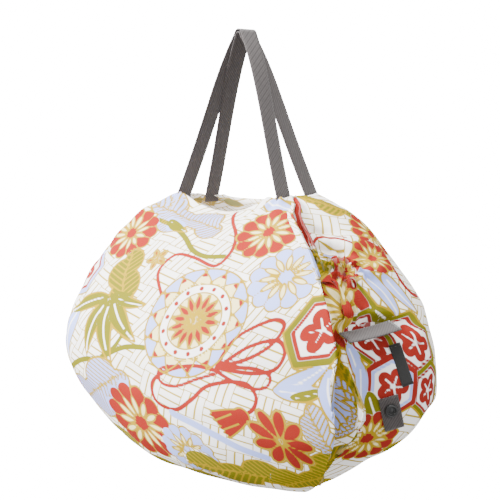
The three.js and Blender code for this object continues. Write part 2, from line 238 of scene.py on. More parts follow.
@dataclass
class BagForm:
    """Shape of the hanging cloth, as a grid of rows down the bag and columns around it."""

    hem_z: float = -170.0
    hem_half_length: float = 80.0
    hem_half_depth: float = 30.0
    hem_corner: float = 12.0
    sag_front: float = 17.0
    sag_back: float = 5.0
    hem_lift: float = 2.0
    hem_reach: float = 0.18
    box_reach: float = 0.1
    base_tilt: float = 0.04
    tilt_start: float = 0.35
    tilt_reach: float = 0.5
    left_back_share: float = 0.3
    arch_power: float = 2.6
    box_power: float = 8.0
    thickness: float = 0.8
    front_cells: int = 228
    front_skew: float = 0.3
    back_cells: int = 80
    tuck_cells: int = 12
    end_cells: int = 28
    left_end_cells: int = 8
    level_cells: int = 176
    level_skew: float = 0.22
    base_cells: int = 8
    base_sag: float = 2.0
    base_reach: float = 26.0
    hem_fold: float = 10.5
    hem_stitch: float = 9.5
    table: SectionTable = field(default_factory=lambda: SectionTable(SECTION_COLUMNS, SECTION_ROWS))

    def __post_init__(self) -> None:
        """Build the grid and its print coordinates."""
        shares = np.linspace(0.0, 1.0, self.level_cells + 1)
        self.levels = shares - self.level_skew * shares * (1 - shares)
        self.section = self.table.at(self.levels)
        self.down = self.levels * self.table.length
        self._lay_columns()
        self._build_points()
        self._measure()

    def _lay_columns(self) -> None:
        """Number the columns, starting at the floor of the left end's tuck."""
        tuck, end, left = self.tuck_cells, self.end_cells, self.left_end_cells
        marks = [
            ("left_pocket", tuck), ("left_ridge", self.front_cells), ("ridge", tuck),
            ("pocket", tuck), ("flap", end), ("under", end), ("cheek", end), ("rear", end),
            ("corner", self.back_cells), ("left_corner", left), ("left_rear", left),
            ("left_cheek", left), ("left_under", left), ("left_flap", tuck),
        ]
        self.mark: dict[str, int] = {}
        column = 0
        for name, cells in marks:
            self.mark[name] = column
            column += cells
        self.columns = column
        m = self.mark
        self.zones = {
            Zone.FRONT: (0, m["pocket"], [m["left_ridge"], m["ridge"]]),
            Zone.RIGHT_END: (m["pocket"], m["corner"], [m["cheek"]]),
            Zone.BACK: (m["corner"], m["left_corner"], [(m["corner"] + m["left_corner"]) // 2]),
            Zone.LEFT_END: (m["left_corner"], column, [m["left_cheek"]]),
        }

    def left_extra(self, y: Values, section: dict[str, Values]) -> Values:
        """How much further than the right end the left end reaches, at a depth.

        Args:
            y: Depths.
            section: Reaches of the ridges and of the left end at those depths.

        Returns:
            Distances in millimetres.
        """
        towards_back = (y + section["ridge_y"]) / (2 * section["ridge_y"])
        extra = section["left"] - section["ridge"]
        return extra * mix(1.0, self.left_back_share, towards_back)

    @staticmethod
    def smooth(knots: list[np.ndarray], cells: int) -> np.ndarray:
        """A smooth line through knots, for every row at once.

        Args:
            knots: Arrays of rows by 2.
            cells: Steps in each stretch between two knots.

        Returns:
            Rows by points by 2.
        """
        share = np.linspace(0, 1, cells + 1)[:-1][None, :, None]
        runs = []
        last = len(knots) - 1
        for i in range(last):
            p0, p1 = knots[max(i - 1, 0)][:, None], knots[i][:, None]
            p2, p3 = knots[i + 1][:, None], knots[min(i + 2, last)][:, None]
            leave, arrive = (p2 - p0) / 2, (p3 - p1) / 2
            cubic = (2 * p1 - 2 * p2 + leave + arrive) * share**3
            square = (-3 * p1 + 3 * p2 - 2 * leave - arrive) * share**2
            runs.append(cubic + square + leave * share + p1)
        runs.append(knots[last][:, None])
        return np.concatenate(runs, axis=1)

    def _panel(self, start: np.ndarray, end: np.ndarray, cells: int,
               skew: float = 0.0) -> np.ndarray:
        """A bowed panel between two edges, a rounded box at the hem and an arch below.

        Args:
            start: First edge, rows by 2.
            end: Second edge, rows by 2.
            cells: Steps across the panel.
            skew: How much closer the points lie at the second edge.

        Returns:
            Rows by points by 2.
        """
        turn = np.linspace(-math.pi / 2, math.pi / 2, 321)[None, :]
        box = ((1 - np.clip(self.levels / self.box_reach, 0, 1)) ** 2)[:, None]
        arch_out = 1 - np.abs(np.sin(turn)) ** self.arch_power
        box_across = np.sign(turn) * np.abs(np.sin(turn)) ** (2 / self.box_power)
        box_out = np.abs(np.cos(turn)) ** (2 / self.box_power)
        across = (mix(np.sin(turn), box_across, box) + 1) / 2
        out = mix(arch_out, box_out, box)
        side = np.sign(start[0, 1])
        base = mix(np.abs(start[:, 1:]), np.abs(end[:, 1:]), across)
        x = mix(start[:, :1], end[:, :1], across)
        y = side * mix(base, self.section["belly"][:, None], out)
        shares = np.linspace(0, 1, cells + 1)
        shares = shares + skew * shares * (1 - shares)
        result = np.zeros((len(x), cells + 1, 2))
        for row in range(len(x)):
            steps = np.hypot(np.diff(x[row]), np.diff(y[row]))
            along = np.concatenate([[0], np.cumsum(steps)])
            want = along[-1] * shares
            result[row, :, 0] = np.interp(want, along, x[row])
            result[row, :, 1] = np.interp(want, along, y[row])
        return result

    def _end_lines(self, tuck: int, cells: int) -> tuple[np.ndarray, np.ndarray]:
        """The right end's tuck and its rounded part.

        Args:
            tuck: Steps in each half of the tuck.
            cells: Steps in each stretch of the rounded part.

        Returns:
            The line from ridge to flap and the line from flap to corner.
        """
        s = self.section

        def place(x: np.ndarray, y: np.ndarray) -> np.ndarray:
            """A column of knots."""
            return np.stack([x, -y], axis=1)

        ridge = place(s["ridge"], s["ridge_y"])
        pocket = place(s["pocket"], (s["ridge_y"] + s["flap_y"]) / 2)
        flap = place(s["flap"], s["flap_y"])
        under = place(s["under"], s["flap_y"] * 0.68)
        cheek = place(s["cheek"], 0 * s["cheek"])
        rear = place(s["rear"], -s["ridge_y"] * 0.5)
        corner = place(s["corner"], -s["ridge_y"])
        return (
            self.smooth([ridge, pocket, flap], tuck),
            self.smooth([flap, under, cheek, rear, corner], cells),
        )

    def _height(self, x: np.ndarray, y: np.ndarray) -> np.ndarray:
        """Height of the cloth, with the hem's dips and lifts fading downwards.

        Args:
            x: Places along the bag.
            y: Places through its depth.

        Returns:
            Heights.
        """
        level = self.levels[:, None]
        dip_fade = (1 - np.clip(level / self.hem_reach, 0, 1)) ** 2
        lift_fade = dip_fade * (1 - np.clip(level / self.box_reach, 0, 1))
        share = np.minimum(1, np.abs(x) / (self.hem_half_length - self.hem_corner))
        sag = np.where(y < 0, self.sag_front, self.sag_back) * (1 - share**2)
        lift = self.hem_lift * (1 + x * y / (self.hem_half_length * self.hem_half_depth))
        tilt = ease((level - self.tilt_start) / self.tilt_reach) * self.base_tilt * x
        drop = self.section["drop"][:, None]
        return self.hem_z - drop + lift_fade * lift - dip_fade * sag - tilt

    def _build_points(self) -> None:
        """Lay out the smooth form, before its wrinkles."""
        tuck, rounded = self._end_lines(self.tuck_cells, self.end_cells)
        left_tuck, left_rounded = self._end_lines(self.tuck_cells, self.left_end_cells)
        section = {name: values[:, None] for name, values in self.section.items()}

        def mirrored(line: np.ndarray) -> np.ndarray:
            """The left end's line, in the order in which the columns run.

            Args:
                line: The same line of the right end.

            Returns:
                Rows by points by 2.
            """
            flipped = line[:, ::-1].copy()
            flipped[..., 0] = -flipped[..., 0] - self.left_extra(flipped[..., 1], section)
            return flipped

        left_tuck, left_rounded = mirrored(left_tuck), mirrored(left_rounded)
        front = self._panel(left_tuck[:, -1], tuck[:, 0], self.front_cells, self.front_skew)
        back = self._panel(left_rounded[:, 0], rounded[:, -1], self.back_cells)[:, ::-1]
        half = self.tuck_cells
        runs = [
            left_tuck[:, half:-1], front[:, :-1], tuck[:, :-1], rounded[:, :-1],
            back[:, :-1], left_rounded[:, :-1], left_tuck[:, :half],
        ]
        flat = np.concatenate(runs, axis=1)
        x, y = flat[..., 0], flat[..., 1]
        self.points = np.stack([x, y, self._height(x, y)], axis=-1)
        self._close_base()

    def _close_base(self) -> None:
        """Add rows that close the base towards its middle."""
        rim = self.points[-1]
        middle = rim.mean(axis=0)
        shares = np.arange(1, self.base_cells + 1) / (self.base_cells + 1)
        rows = middle + (rim - middle) * (1 - shares)[:, None, None]
        rows[..., 2] -= self.base_sag * np.sin(shares * math.pi / 2)[:, None]
        self.base_middle = middle - np.array([0.0, 0.0, self.base_sag])
        self.points = np.concatenate([self.points, rows])
        self.levels = np.concatenate([self.levels, np.ones(self.base_cells)])
        self.down = np.concatenate([self.down, self.table.length + self.base_reach * shares])

    def row_at(self, level: float) -> float:
        """The row, with its fraction, that lies at a share of the height."""
        rows = np.arange(self.level_cells + 1)
        return float(np.interp(level, self.levels[:self.level_cells + 1], rows))

    def normals(self, points: np.ndarray) -> np.ndarray:
        """Outward directions of a grid that closes around the bag.

        Args:
            points: Grid of rows down the bag.

        Returns:
            Directions of length one.
        """
        across = np.roll(points, -1, axis=1) - np.roll(points, 1, axis=1)
        down = np.empty_like(points)
        down[1:-1] = points[2:] - points[:-2]
        down[0] = points[1] - points[0]
        down[-1] = points[-1] - points[-2]
        return unit(np.cross(down, across))

    def _measure(self) -> None:
        """Arc length around each row, for the print."""
        step = np.roll(self.points, -1, axis=1) - self.points
        lengths = np.linalg.norm(step[..., :2], axis=-1)
        start = np.zeros((len(lengths), 1))
        self.around = np.concatenate([start, np.cumsum(lengths, axis=1)], axis=1)

    def print_coordinates(self, zone: Zone) -> tuple[np.ndarray, np.ndarray, slice]:
        """Where the cloth of a zone lies in its print.

        Args:
            zone: Stretch of cloth.

        Returns:
            Distance across and distance down in millimetres, and the zone's own columns,
            without the last one, which the next zone starts with.
        """
        first, last, origins = self.zones[zone]
        origin = self.around[:, origins].mean(axis=1, keepdims=True)
        across = self.around[:, first:last + 1] - origin
        down = np.broadcast_to(self.down[:, None], across.shape)
        return across, down, slice(first, last)


@dataclass(frozen=True)
class Mound:
    """A soft mound of the cloth, or a hollow where its height is negative."""

    u: float
    v: float
    reach_u: float
    reach_v: float
    height: float
    skew: float = 0.0

    def at(self, across: np.ndarray, down: np.ndarray) -> np.ndarray:
        """Its height over the print.

        Args:
            across: Distance across the print.
            down: Distance down the print.

        Returns:
            Heights in millimetres.
        """
        du = across - self.u
        dv = down - self.v - self.skew * du
        return self.height * np.exp(-((du / self.reach_u) ** 2) - (dv / self.reach_v) ** 2)


@dataclass(frozen=True)
class FootFolds:
    """Soft folds that fan out below one handle's end."""

    zone: Zone
    foot: float
    count: float
    phase: float
    height: float
    rise: float = 4.0
    near: float = 14.0
    far: float = 60.0

    def at(self, across: np.ndarray, down: np.ndarray) -> np.ndarray:
        """Their height over the print.

        Args:
            across: Distance across the print.
            down: Distance down the print.

        Returns:
            Heights in millimetres.
        """
        away = np.hypot(across - self.foot, down + self.rise)
        angle = np.arctan2(across - self.foot, down + self.rise)
        strength = self.height * np.exp(-away / self.far) * (1 - np.exp(-away / self.near))
        return strength * np.cos(self.count * angle + self.phase)


FOOT_FOLDS = (
    FootFolds(Zone.FRONT, -78, 8, 0.4, 3.0),
    FootFolds(Zone.FRONT, 78, 7, 2.1, 3.0),
    FootFolds(Zone.BACK, -75, 7, 0.0, 2.0),
    FootFolds(Zone.BACK, 75, 7, 0.0, 2.0),
)
# The cloth swells around the knot, with a pit in its middle and one beside it.
BUNCH_MOUNDS = (
    Mound(*KNOT, 19, 19, 5.0),
    Mound(*KNOT, 6, 6, -14.0),
    Mound(-58, 90, 8, 8, -14.0),
)
# The rolled fold above the bunch, with a hollow under it and one over it.
ROLL_MOUNDS = (
    Mound(-15, 58, 15, 7.5, 5.0, 0.15),
    Mound(-20, 71.25, 17, 5, -11.0, 0.15),
    Mound(-19, 44.4, 18, 5, -5.0, 0.15),
)


@dataclass
class Wrinkles:
    """Folds, gathers and swells laid over the smooth form, in millimetres."""

    form: BagForm
    broad: Swell = Swell(11, 120)
    broad_height: float = 2.2
    small: Swell = Swell(12, 46)
    small_height: float = 0.8
    taut_until: float = 0.12
    calm: float = 0.6
    calm_from: float = 0.85
    slack_levels: tuple[float, float, float, float] = (0.62, 0.2, 0.95, 0.05)
    slack_side: tuple[float, float] = (60.0, 110.0)
    slack_waves: tuple[tuple[float, float, float], ...] = ((13.0, 5.0, 0.7), (7.3, -9.0, 0.35))
    hem_step: float = 2.0
    hem_rise: float = 0.5
    groove_depth: float = 0.35
    groove_reach: float = 1.6
    seam_depth: float = 0.9
    seam_reach: float = 2.2
    crease_depth: float = 13.0
    crease_reach: float = 9.0
    crease_top: float = 8.0
    crease_foot: float = 120.0
    crease_fade: float = 30.0
    uneven: Swell = Swell(33, 14)
    uneven_share: float = 0.35
    gather_fade: float = 8.0
    frill_height: float = 4.6
    frill_turns: float = 5.5
    frill_sway: float = 0.5
    frill_twist: float = 16.0
    frill_ring: float = 13.0
    frill_reach: float = 8.0
    spread_height: float = 2.2
    spread_turns: float = 7.0
    spread_phase: float = 1.3
    spread_ring: float = 33.0
    spread_reach: float = 17.0
    pleat_place: tuple[float, float] = (-44.0, 136.0)
    pleat_reach: tuple[float, float] = (20.0, 22.0)
    pleat_height: float = 5.5
    pleat_pitch: float = 15.0
    pleat_lean: float = 0.12

    def apply(self) -> np.ndarray:
        """The wrinkled grid.

        Returns:
            Places of the grid's points.
        """
        form = self.form
        points = form.points
        normals = form.normals(points)
        level = form.levels[:, None]
        calmed = self.calm * ease((level - self.calm_from) / 0.15)
        loose = ease(level / self.taut_until) * (1 - calmed)
        height = self.broad_height * loose * self.broad.at(points)
        height += self.small_height * loose * self.small.at(points)
        height += self._hem_folds()
        height += self._base_folds()
        height -= self._seam_grooves()
        wrinkled = points + normals * height[..., None]
        return self._gather(wrinkled, normals)

    def _away_from(self, mark: str) -> np.ndarray:
        """Distance around the bag from one of its marked columns."""
        column = self.form.mark[mark]
        return self.form.around[:, :-1] - self.form.around[:, column:column + 1]

    def _hem_folds(self) -> np.ndarray:
        """Soft folds that run down from the handles' ends, and the doubled hem.

        Returns:
            A value for every point of the grid.
        """
        form = self.form
        height = np.zeros(form.points.shape[:2])
        for folds in FOOT_FOLDS:
            across, down, columns = form.print_coordinates(folds.zone)
            height[:, columns] += folds.at(across, down)[:, :-1]
        down = form.down[:, None]
        hem = 1 - ease((down - form.hem_fold) / self.hem_step)
        groove = np.exp(-(((down - form.hem_stitch) / self.groove_reach) ** 2))
        return height + self.hem_rise * hem - self.groove_depth * groove

    def _base_folds(self) -> np.ndarray:
        """Slack folds near the base, strongest towards the corners.

        Returns:
            A value for every point of the grid.
        """
        x = self.form.points[..., 0]
        level = self.form.levels[:, None]
        start, rise, stop, fall = self.slack_levels
        low = ease((level - start) / rise) * (1 - ease((level - stop) / fall))
        outer = ease((np.abs(x) - self.slack_side[0]) / self.slack_side[1])
        wave = sum(np.sin(x / pitch + turn * level) * height
                   for pitch, turn, height in self.slack_waves)
        return low * outer * wave

    def _seam_grooves(self) -> np.ndarray:
        """The sewn side seams at the back corners.

        Returns:
            A value for every point of the grid.
        """
        depth = np.zeros(self.form.points.shape[:2])
        for mark in ("corner", "left_corner"):
            away = self._away_from(mark)
            depth += self.seam_depth * np.exp(-((away / self.seam_reach) ** 2))
        return depth

    def _gather(self, points: np.ndarray, normals: np.ndarray) -> np.ndarray:
        """The small bunch of gathered cloth above the right pull tape.

        Args:
            points: Grid to shape.
            normals: Outward directions of the smooth form.

        Returns:
            The shaped grid.
        """
        across, down, columns = self.form.print_coordinates(Zone.RIGHT_END)
        flat = np.stack([across, down], axis=-1)
        height = self._frill(across, down) * (1 + self.uneven_share * self.uneven.at(flat))
        height += sum(mound.at(across, down) for mound in ROLL_MOUNDS)
        height += self._pleats(across, down)
        height *= ease((across - across[:, :1]) / self.gather_fade)
        shaped = points.copy()
        shaped[..., 0] -= self._crease()
        shaped[:, columns] += normals[:, columns] * height[:, :-1, None]
        return shaped

    def _crease(self) -> np.ndarray:
        """How much deeper the cloth is drawn in along the crease above the pull tape.

        Returns:
            A value for every point of the grid.
        """
        down = self.form.down[:, None]
        start = ease((down - self.crease_top) / self.crease_fade)
        stop = ease((down - self.crease_foot) / self.crease_fade)
        away = self._away_from("pocket")
        reach = np.exp(-((away / self.crease_reach) ** 2))
        return self.crease_depth * start * (1 - stop) * reach

    def _frill(self, across: np.ndarray, down: np.ndarray) -> np.ndarray:
        """Short pleats that stand out around the knot, and the wider waves around them.

        Args:
            across: Distance across the print.
            down: Distance down the print.

        Returns:
            Heights in millimetres.
        """
        du, dv = across - KNOT[0], down - KNOT[1]
        away = np.hypot(du, dv)
        angle = np.arctan2(du, dv)
        sway = self.frill_sway * np.sin(2 * angle)
        phase = self.frill_turns * angle + sway + away / self.frill_twist
        pleats = 1 - 2 * np.abs(np.sin(phase))
        near = np.exp(-(((away - self.frill_ring) / self.frill_reach) ** 2))
        far = np.exp(-(((away - self.spread_ring) / self.spread_reach) ** 2))
        waves = self.spread_height * far * np.cos(self.spread_turns * angle + self.spread_phase)
        bunch = sum(mound.at(across, down) for mound in BUNCH_MOUNDS)
        return self.frill_height * near * pleats + waves + bunch

    def _pleats(self, across: np.ndarray, down: np.ndarray) -> np.ndarray:
        """Upright pleats between the knot and the pull tape.

        Args:
            across: Distance across the print.
            down: Distance down the print.

        Returns:
            Heights in millimetres.
        """
        dv = down - self.pleat_place[1]
        du = across - self.pleat_place[0] - self.pleat_lean * (dv + 1)
        reach = np.exp(-((du / self.pleat_reach[0]) ** 2) - (dv / self.pleat_reach[1]) ** 2)
        folds = 1 - 2 * np.abs(np.sin(math.pi * du / self.pleat_pitch))
        return self.pleat_height * reach * folds


class PrintCanvas:
    """Signed distances to the print's colour areas over a stretch of cloth, in millimetres."""

    def __init__(self, across: np.ndarray, down: np.ndarray) -> None:
        """Start with bare cloth.

        Args:
            across: Distance across the print.
            down: Distance down the print.
        """
        self.across = across
        self.down = down
        self.ink = {ink: np.full(across.shape, FAR) for ink in Ink}
        self.edge = {tier: np.full(across.shape, FAR) for tier in Tier}
        self.line = {tier: np.full(across.shape, FAR) for tier in Tier}

    def local(self, u: float, v: float, turn: float = 0.0) -> tuple[np.ndarray, np.ndarray]:
        """Coordinates around a motif's centre.

        Args:
            u: Centre across the print.
            v: Centre down the print.
            turn: Degrees, clockwise as the print is seen.

        Returns:
            Distances along and across the motif's own axis.
        """
        angle = math.radians(turn)
        du, dv = self.across - u, self.down - v
        x = du * math.cos(angle) + dv * math.sin(angle)
        y = -du * math.sin(angle) + dv * math.cos(angle)
        return x, y

    def lay(self, shape: np.ndarray, line: np.ndarray | None = None,
            tier: Tier = Tier.UNDER) -> None:
        """Cover what lies below a motif and take over its outline and inner lines.

        Args:
            shape: Signed distance to its outline.
            line: Signed distance to the nearest inner line, if it has any.
            tier: Layer of the motif.
        """
        for ink in Ink:
            self.ink[ink] = np.maximum(self.ink[ink], -shape)
        self.edge[tier] = np.minimum(self.edge[tier], shape)
        inner = np.full(shape.shape, FAR) if line is None else line
        self.line[tier] = np.where(shape < 2.5, inner, self.line[tier])

    def fill(self, ink: Ink, *bounds: np.ndarray) -> None:
        """Colour the places that lie inside every one of the given outlines."""
        self.ink[ink] = np.minimum(self.ink[ink], np.maximum.reduce(bounds))


def sector(x: np.ndarray, y: np.ndarray, count: int) -> tuple[np.ndarray, np.ndarray, np.ndarray]:
    """Fold the plane into one of a number of equal sectors.

    Args:
        x: First coordinate.
        y: Second coordinate.
        count: Number of sectors.

    Returns:
        Radius, distance along the sector's middle and distance from it.
    """
    radius = np.hypot(x, y)
    width = 2 * math.pi / count
    angle = np.mod(np.arctan2(y, x) + width / 2, width) - width / 2
    return radius, radius * np.cos(angle), radius * np.sin(angle)


@dataclass(frozen=True)
class Rosette:
    """A chrysanthemum with slim cream petals before a scalloped coloured rim."""

    u: float
    v: float
    radius: float
    ink: Ink
    petals: int = 12
    turn: float = 0.0
    tier: Tier = Tier.UNDER

    def draw(self, canvas: PrintCanvas) -> None:
        """Lay the motif on the canvas.

        Args:
            canvas: Print to draw on.
        """
        x, y = canvas.local(self.u, self.v, self.turn)
        radius, _, off = sector(x, y, self.petals)
        share = radius / self.radius
        half_chord = np.maximum(radius * math.sin(math.pi / self.petals), 0.5)
        notch = (1 - np.clip(np.abs(off) / half_chord, 0, 1)) ** 2
        shape = radius - self.radius * (1 - 0.13 * notch)
        reach = np.clip((share - 0.16) / 0.54, 0, 1)
        half = self.radius * 0.074 * np.sin(math.pi * reach**1.25) ** 0.7
        in_heart = share < 0.17
        spindle = np.where(in_heart, 2.0, np.abs(off) - half)
        canvas.lay(shape, spindle, self.tier)
        canvas.fill(self.ink, shape, 0.4 - spindle)
        canvas.fill(Ink.GOLD, shape, np.where(in_heart, 2.0, spindle + 0.4))
        canvas.fill(self.ink, shape, radius - self.radius * 0.115)


@dataclass(frozen=True)
class OpenFlower:
    """A flower with separate round-tipped petals."""

    u: float
    v: float
    radius: float
    ink: Ink
    petals: int = 9
    turn: float = 0.0
    tier: Tier = Tier.UNDER

    def draw(self, canvas: PrintCanvas) -> None:
        """Lay the motif on the canvas.

        Args:
            canvas: Print to draw on.
        """
        x, y = canvas.local(self.u, self.v, self.turn)
        radius, _, off = sector(x, y, self.petals)
        share = np.clip(radius / self.radius, 0, 1)
        wide = self.radius * 0.235
        half = wide * np.sin(math.pi * share**1.55 * 0.97) ** 0.62 + 0.2
        tip = radius - self.radius
        petal = np.maximum((np.abs(off) - half) * 0.9, tip)
        canvas.lay(petal, petal + 1.4, self.tier)
        canvas.fill(self.ink, petal + 1.4)


@dataclass(frozen=True)
class Tortoise:
    """A six-sided tortoiseshell cell with a border, an inner line and a blossom."""

    u: float
    v: float
    radius: float
    border: Ink = Ink.OLIVE
    inner: Ink = Ink.RED
    turn: float = 0.0

    def draw(self, canvas: PrintCanvas) -> None:
        """Lay the motif on the canvas.

        Args:
            canvas: Print to draw on.
        """
        x, y = canvas.local(self.u, self.v, self.turn)
        _, along, _ = sector(x, y, 6)
        shape = along - self.radius
        canvas.lay(shape)
        canvas.fill(self.border, shape, -(shape + self.radius * 0.19))
        canvas.fill(self.inner, shape, np.abs(shape + self.radius * 0.25) - self.radius * 0.055)
        radius, along, off = sector(x, y, 5)
        size = self.radius * 0.66
        centre = np.hypot(along - size * 0.6, off)
        petal = np.minimum(centre - size * 0.38, radius - size * 0.4)
        stamen = np.minimum(0.9 - np.abs(off), size * 0.6 - along)
        canvas.fill(Ink.RED, shape, petal, stamen)


@dataclass(frozen=True)
class Leaf:
    """One slim pointed leaf with a pale midrib."""

    u: float
    v: float
    length: float
    width: float
    turn: float
    ink: Ink = Ink.OLIVE

    def draw(self, canvas: PrintCanvas) -> None:
        """Lay the motif on the canvas.

        Args:
            canvas: Print to draw on.
        """
        x, y = canvas.local(self.u, self.v, self.turn)
        share = np.clip(x / self.length, 0, 1)
        bend = self.length * 0.06 * np.sin(math.pi * share)
        off = y - bend
        half = self.width / 2 * np.sin(math.pi * share**0.72) ** 0.8
        past = np.maximum(-x, x - self.length)
        shape = np.maximum((np.abs(off) - half) * 0.92, past * 0.9)
        canvas.lay(shape)
        midrib = np.maximum(np.abs(off) - self.width * 0.055, self.length * 0.12 - x)
        canvas.fill(self.ink, shape, np.minimum(-midrib, 2.0))


@dataclass(frozen=True)
class Pine:
    """A cloud-shaped pine bough with combed gold needles."""

    u: float
    v: float
    length: float
    width: float
    turn: float
    ink: Ink = Ink.OLIVE
    spacing: float = 5.0

    def draw(self, canvas: PrintCanvas) -> None:
        """Lay the motif on the canvas.

        Args:
            canvas: Print to draw on.
        """
        x, y = canvas.local(self.u, self.v, self.turn)
        shape = np.full(x.shape, FAR)
        lobes = ((-0.34, -0.1, 0.26), (-0.08, 0.12, 0.32), (0.2, -0.1, 0.3), (0.4, 0.1, 0.2))
        for along, off, size in lobes:
            away = np.hypot((x - along * self.length) / 1.25, y - off * self.width)
            shape = np.minimum(shape, away - size * self.width)
        comb = x + np.abs(y) * 0.75
        line = np.sin(math.pi * comb / self.spacing) * self.spacing / math.pi
        rib = np.where(np.abs(y) < np.abs(line), y, line)
        canvas.lay(shape, rib)
        canvas.fill(self.ink, shape)


@dataclass(frozen=True)
class Wheel:
    """A large round ball of woven diamonds with a plain studded ring."""

    u: float
    v: float
    radius: float
    spokes: int = 14

    def draw(self, canvas: PrintCanvas) -> None:
        """Lay the motif on the canvas.

        Args:
            canvas: Print to draw on.
        """
        x, y = canvas.local(self.u, self.v)
        radius, along, off = sector(x, y, self.spokes)
        angle = np.arctan2(y, x)
        share = radius / self.radius
        shape = radius - self.radius
        swirl = 6.72 * share**1.15
        first = np.sin(self.spokes * angle / 2 + swirl)
        second = np.sin(self.spokes * angle / 2 - swirl)
        scale = np.maximum(radius, 6) / (self.spokes / 2) * 0.8
        diamond = np.sign(first * second) * np.minimum(np.abs(first), np.abs(second)) * scale
        ring = (np.abs(share - 0.6) - 0.085) * self.radius
        canvas.lay(shape, np.where(ring < 1.5, ring, diamond))
        inner_weave, outer_weave = 0.4 + diamond, 0.4 - diamond
        bands = (
            (Ink.RED, -1.0, 0.515, inner_weave), (Ink.LAVENDER, 0.685, 2.0, outer_weave),
            (Ink.GOLD, 0.16, 0.5, outer_weave), (Ink.GOLD, 0.685, 2.0, inner_weave),
            (Ink.RED, 0.84, 2.0, inner_weave),
        )
        for ink, start, stop, weave in bands:
            past = np.maximum(start * self.radius - radius, radius - stop * self.radius)
            canvas.fill(ink, shape, past, weave)
        stud = np.hypot(along - self.radius * 0.6, off) - self.radius * 0.045
        canvas.fill(Ink.RED, shape, stud)


@dataclass(frozen=True)
class Cord:
    """A printed silk cord along a smooth path."""

    path: tuple[tuple[float, float], ...]
    width: float = 3.6
    ink: Ink = Ink.RED

    def draw(self, canvas: PrintCanvas) -> None:
        """Lay the motif on the canvas.

        Args:
            canvas: Print to draw on.
        """
        knots = [np.array([[u, v]]) for u, v in self.path]
        line = BagForm.smooth(knots, 9)[0]
        nearest = np.full(canvas.across.shape, FAR)
        for (u0, v0), (u1, v1) in zip(line[:-1], line[1:]):
            du, dv = u1 - u0, v1 - v0
            share = ((canvas.across - u0) * du + (canvas.down - v0) * dv) / (du * du + dv * dv)
            share = np.clip(share, 0, 1)
            away = np.hypot(canvas.across - u0 - share * du, canvas.down - v0 - share * dv)
            nearest = np.minimum(nearest, away)
        shape = nearest - self.width / 2
        canvas.fill(self.ink, shape)
        for ink in Ink:
            if ink is not self.ink:
                canvas.ink[ink] = np.maximum(canvas.ink[ink], -shape)


@dataclass(frozen=True)
class Tassel:
    """A printed tuft of threads at a cord's end."""

    u: float
    v: float
    length: float
    turn: float

    def draw(self, canvas: PrintCanvas) -> None:
        """Lay the motif on the canvas.

        Args:
            canvas: Print to draw on.
        """
        x, y = canvas.local(self.u, self.v, self.turn)
        share = np.clip(x / self.length, 0, 1)
        half = self.length * (0.16 + 0.26 * share**0.6)
        past = np.maximum(-x, x - self.length * (1 + 0.06 * np.sin(y * 1.4)))
        skirt = np.maximum(np.abs(y) - half, past)
        shape = np.minimum(skirt, np.hypot(x - 1, y) - self.length * 0.24)
        spacing = self.length * 0.3
        threads = np.sin(math.pi * (y / spacing + 0.5)) * spacing / math.pi
        canvas.lay(shape, np.where(x > self.length * 0.3, threads, FAR))
        canvas.fill(Ink.RED, shape)


Motif = Rosette | OpenFlower | Tortoise | Leaf | Pine | Wheel | Cord | Tassel

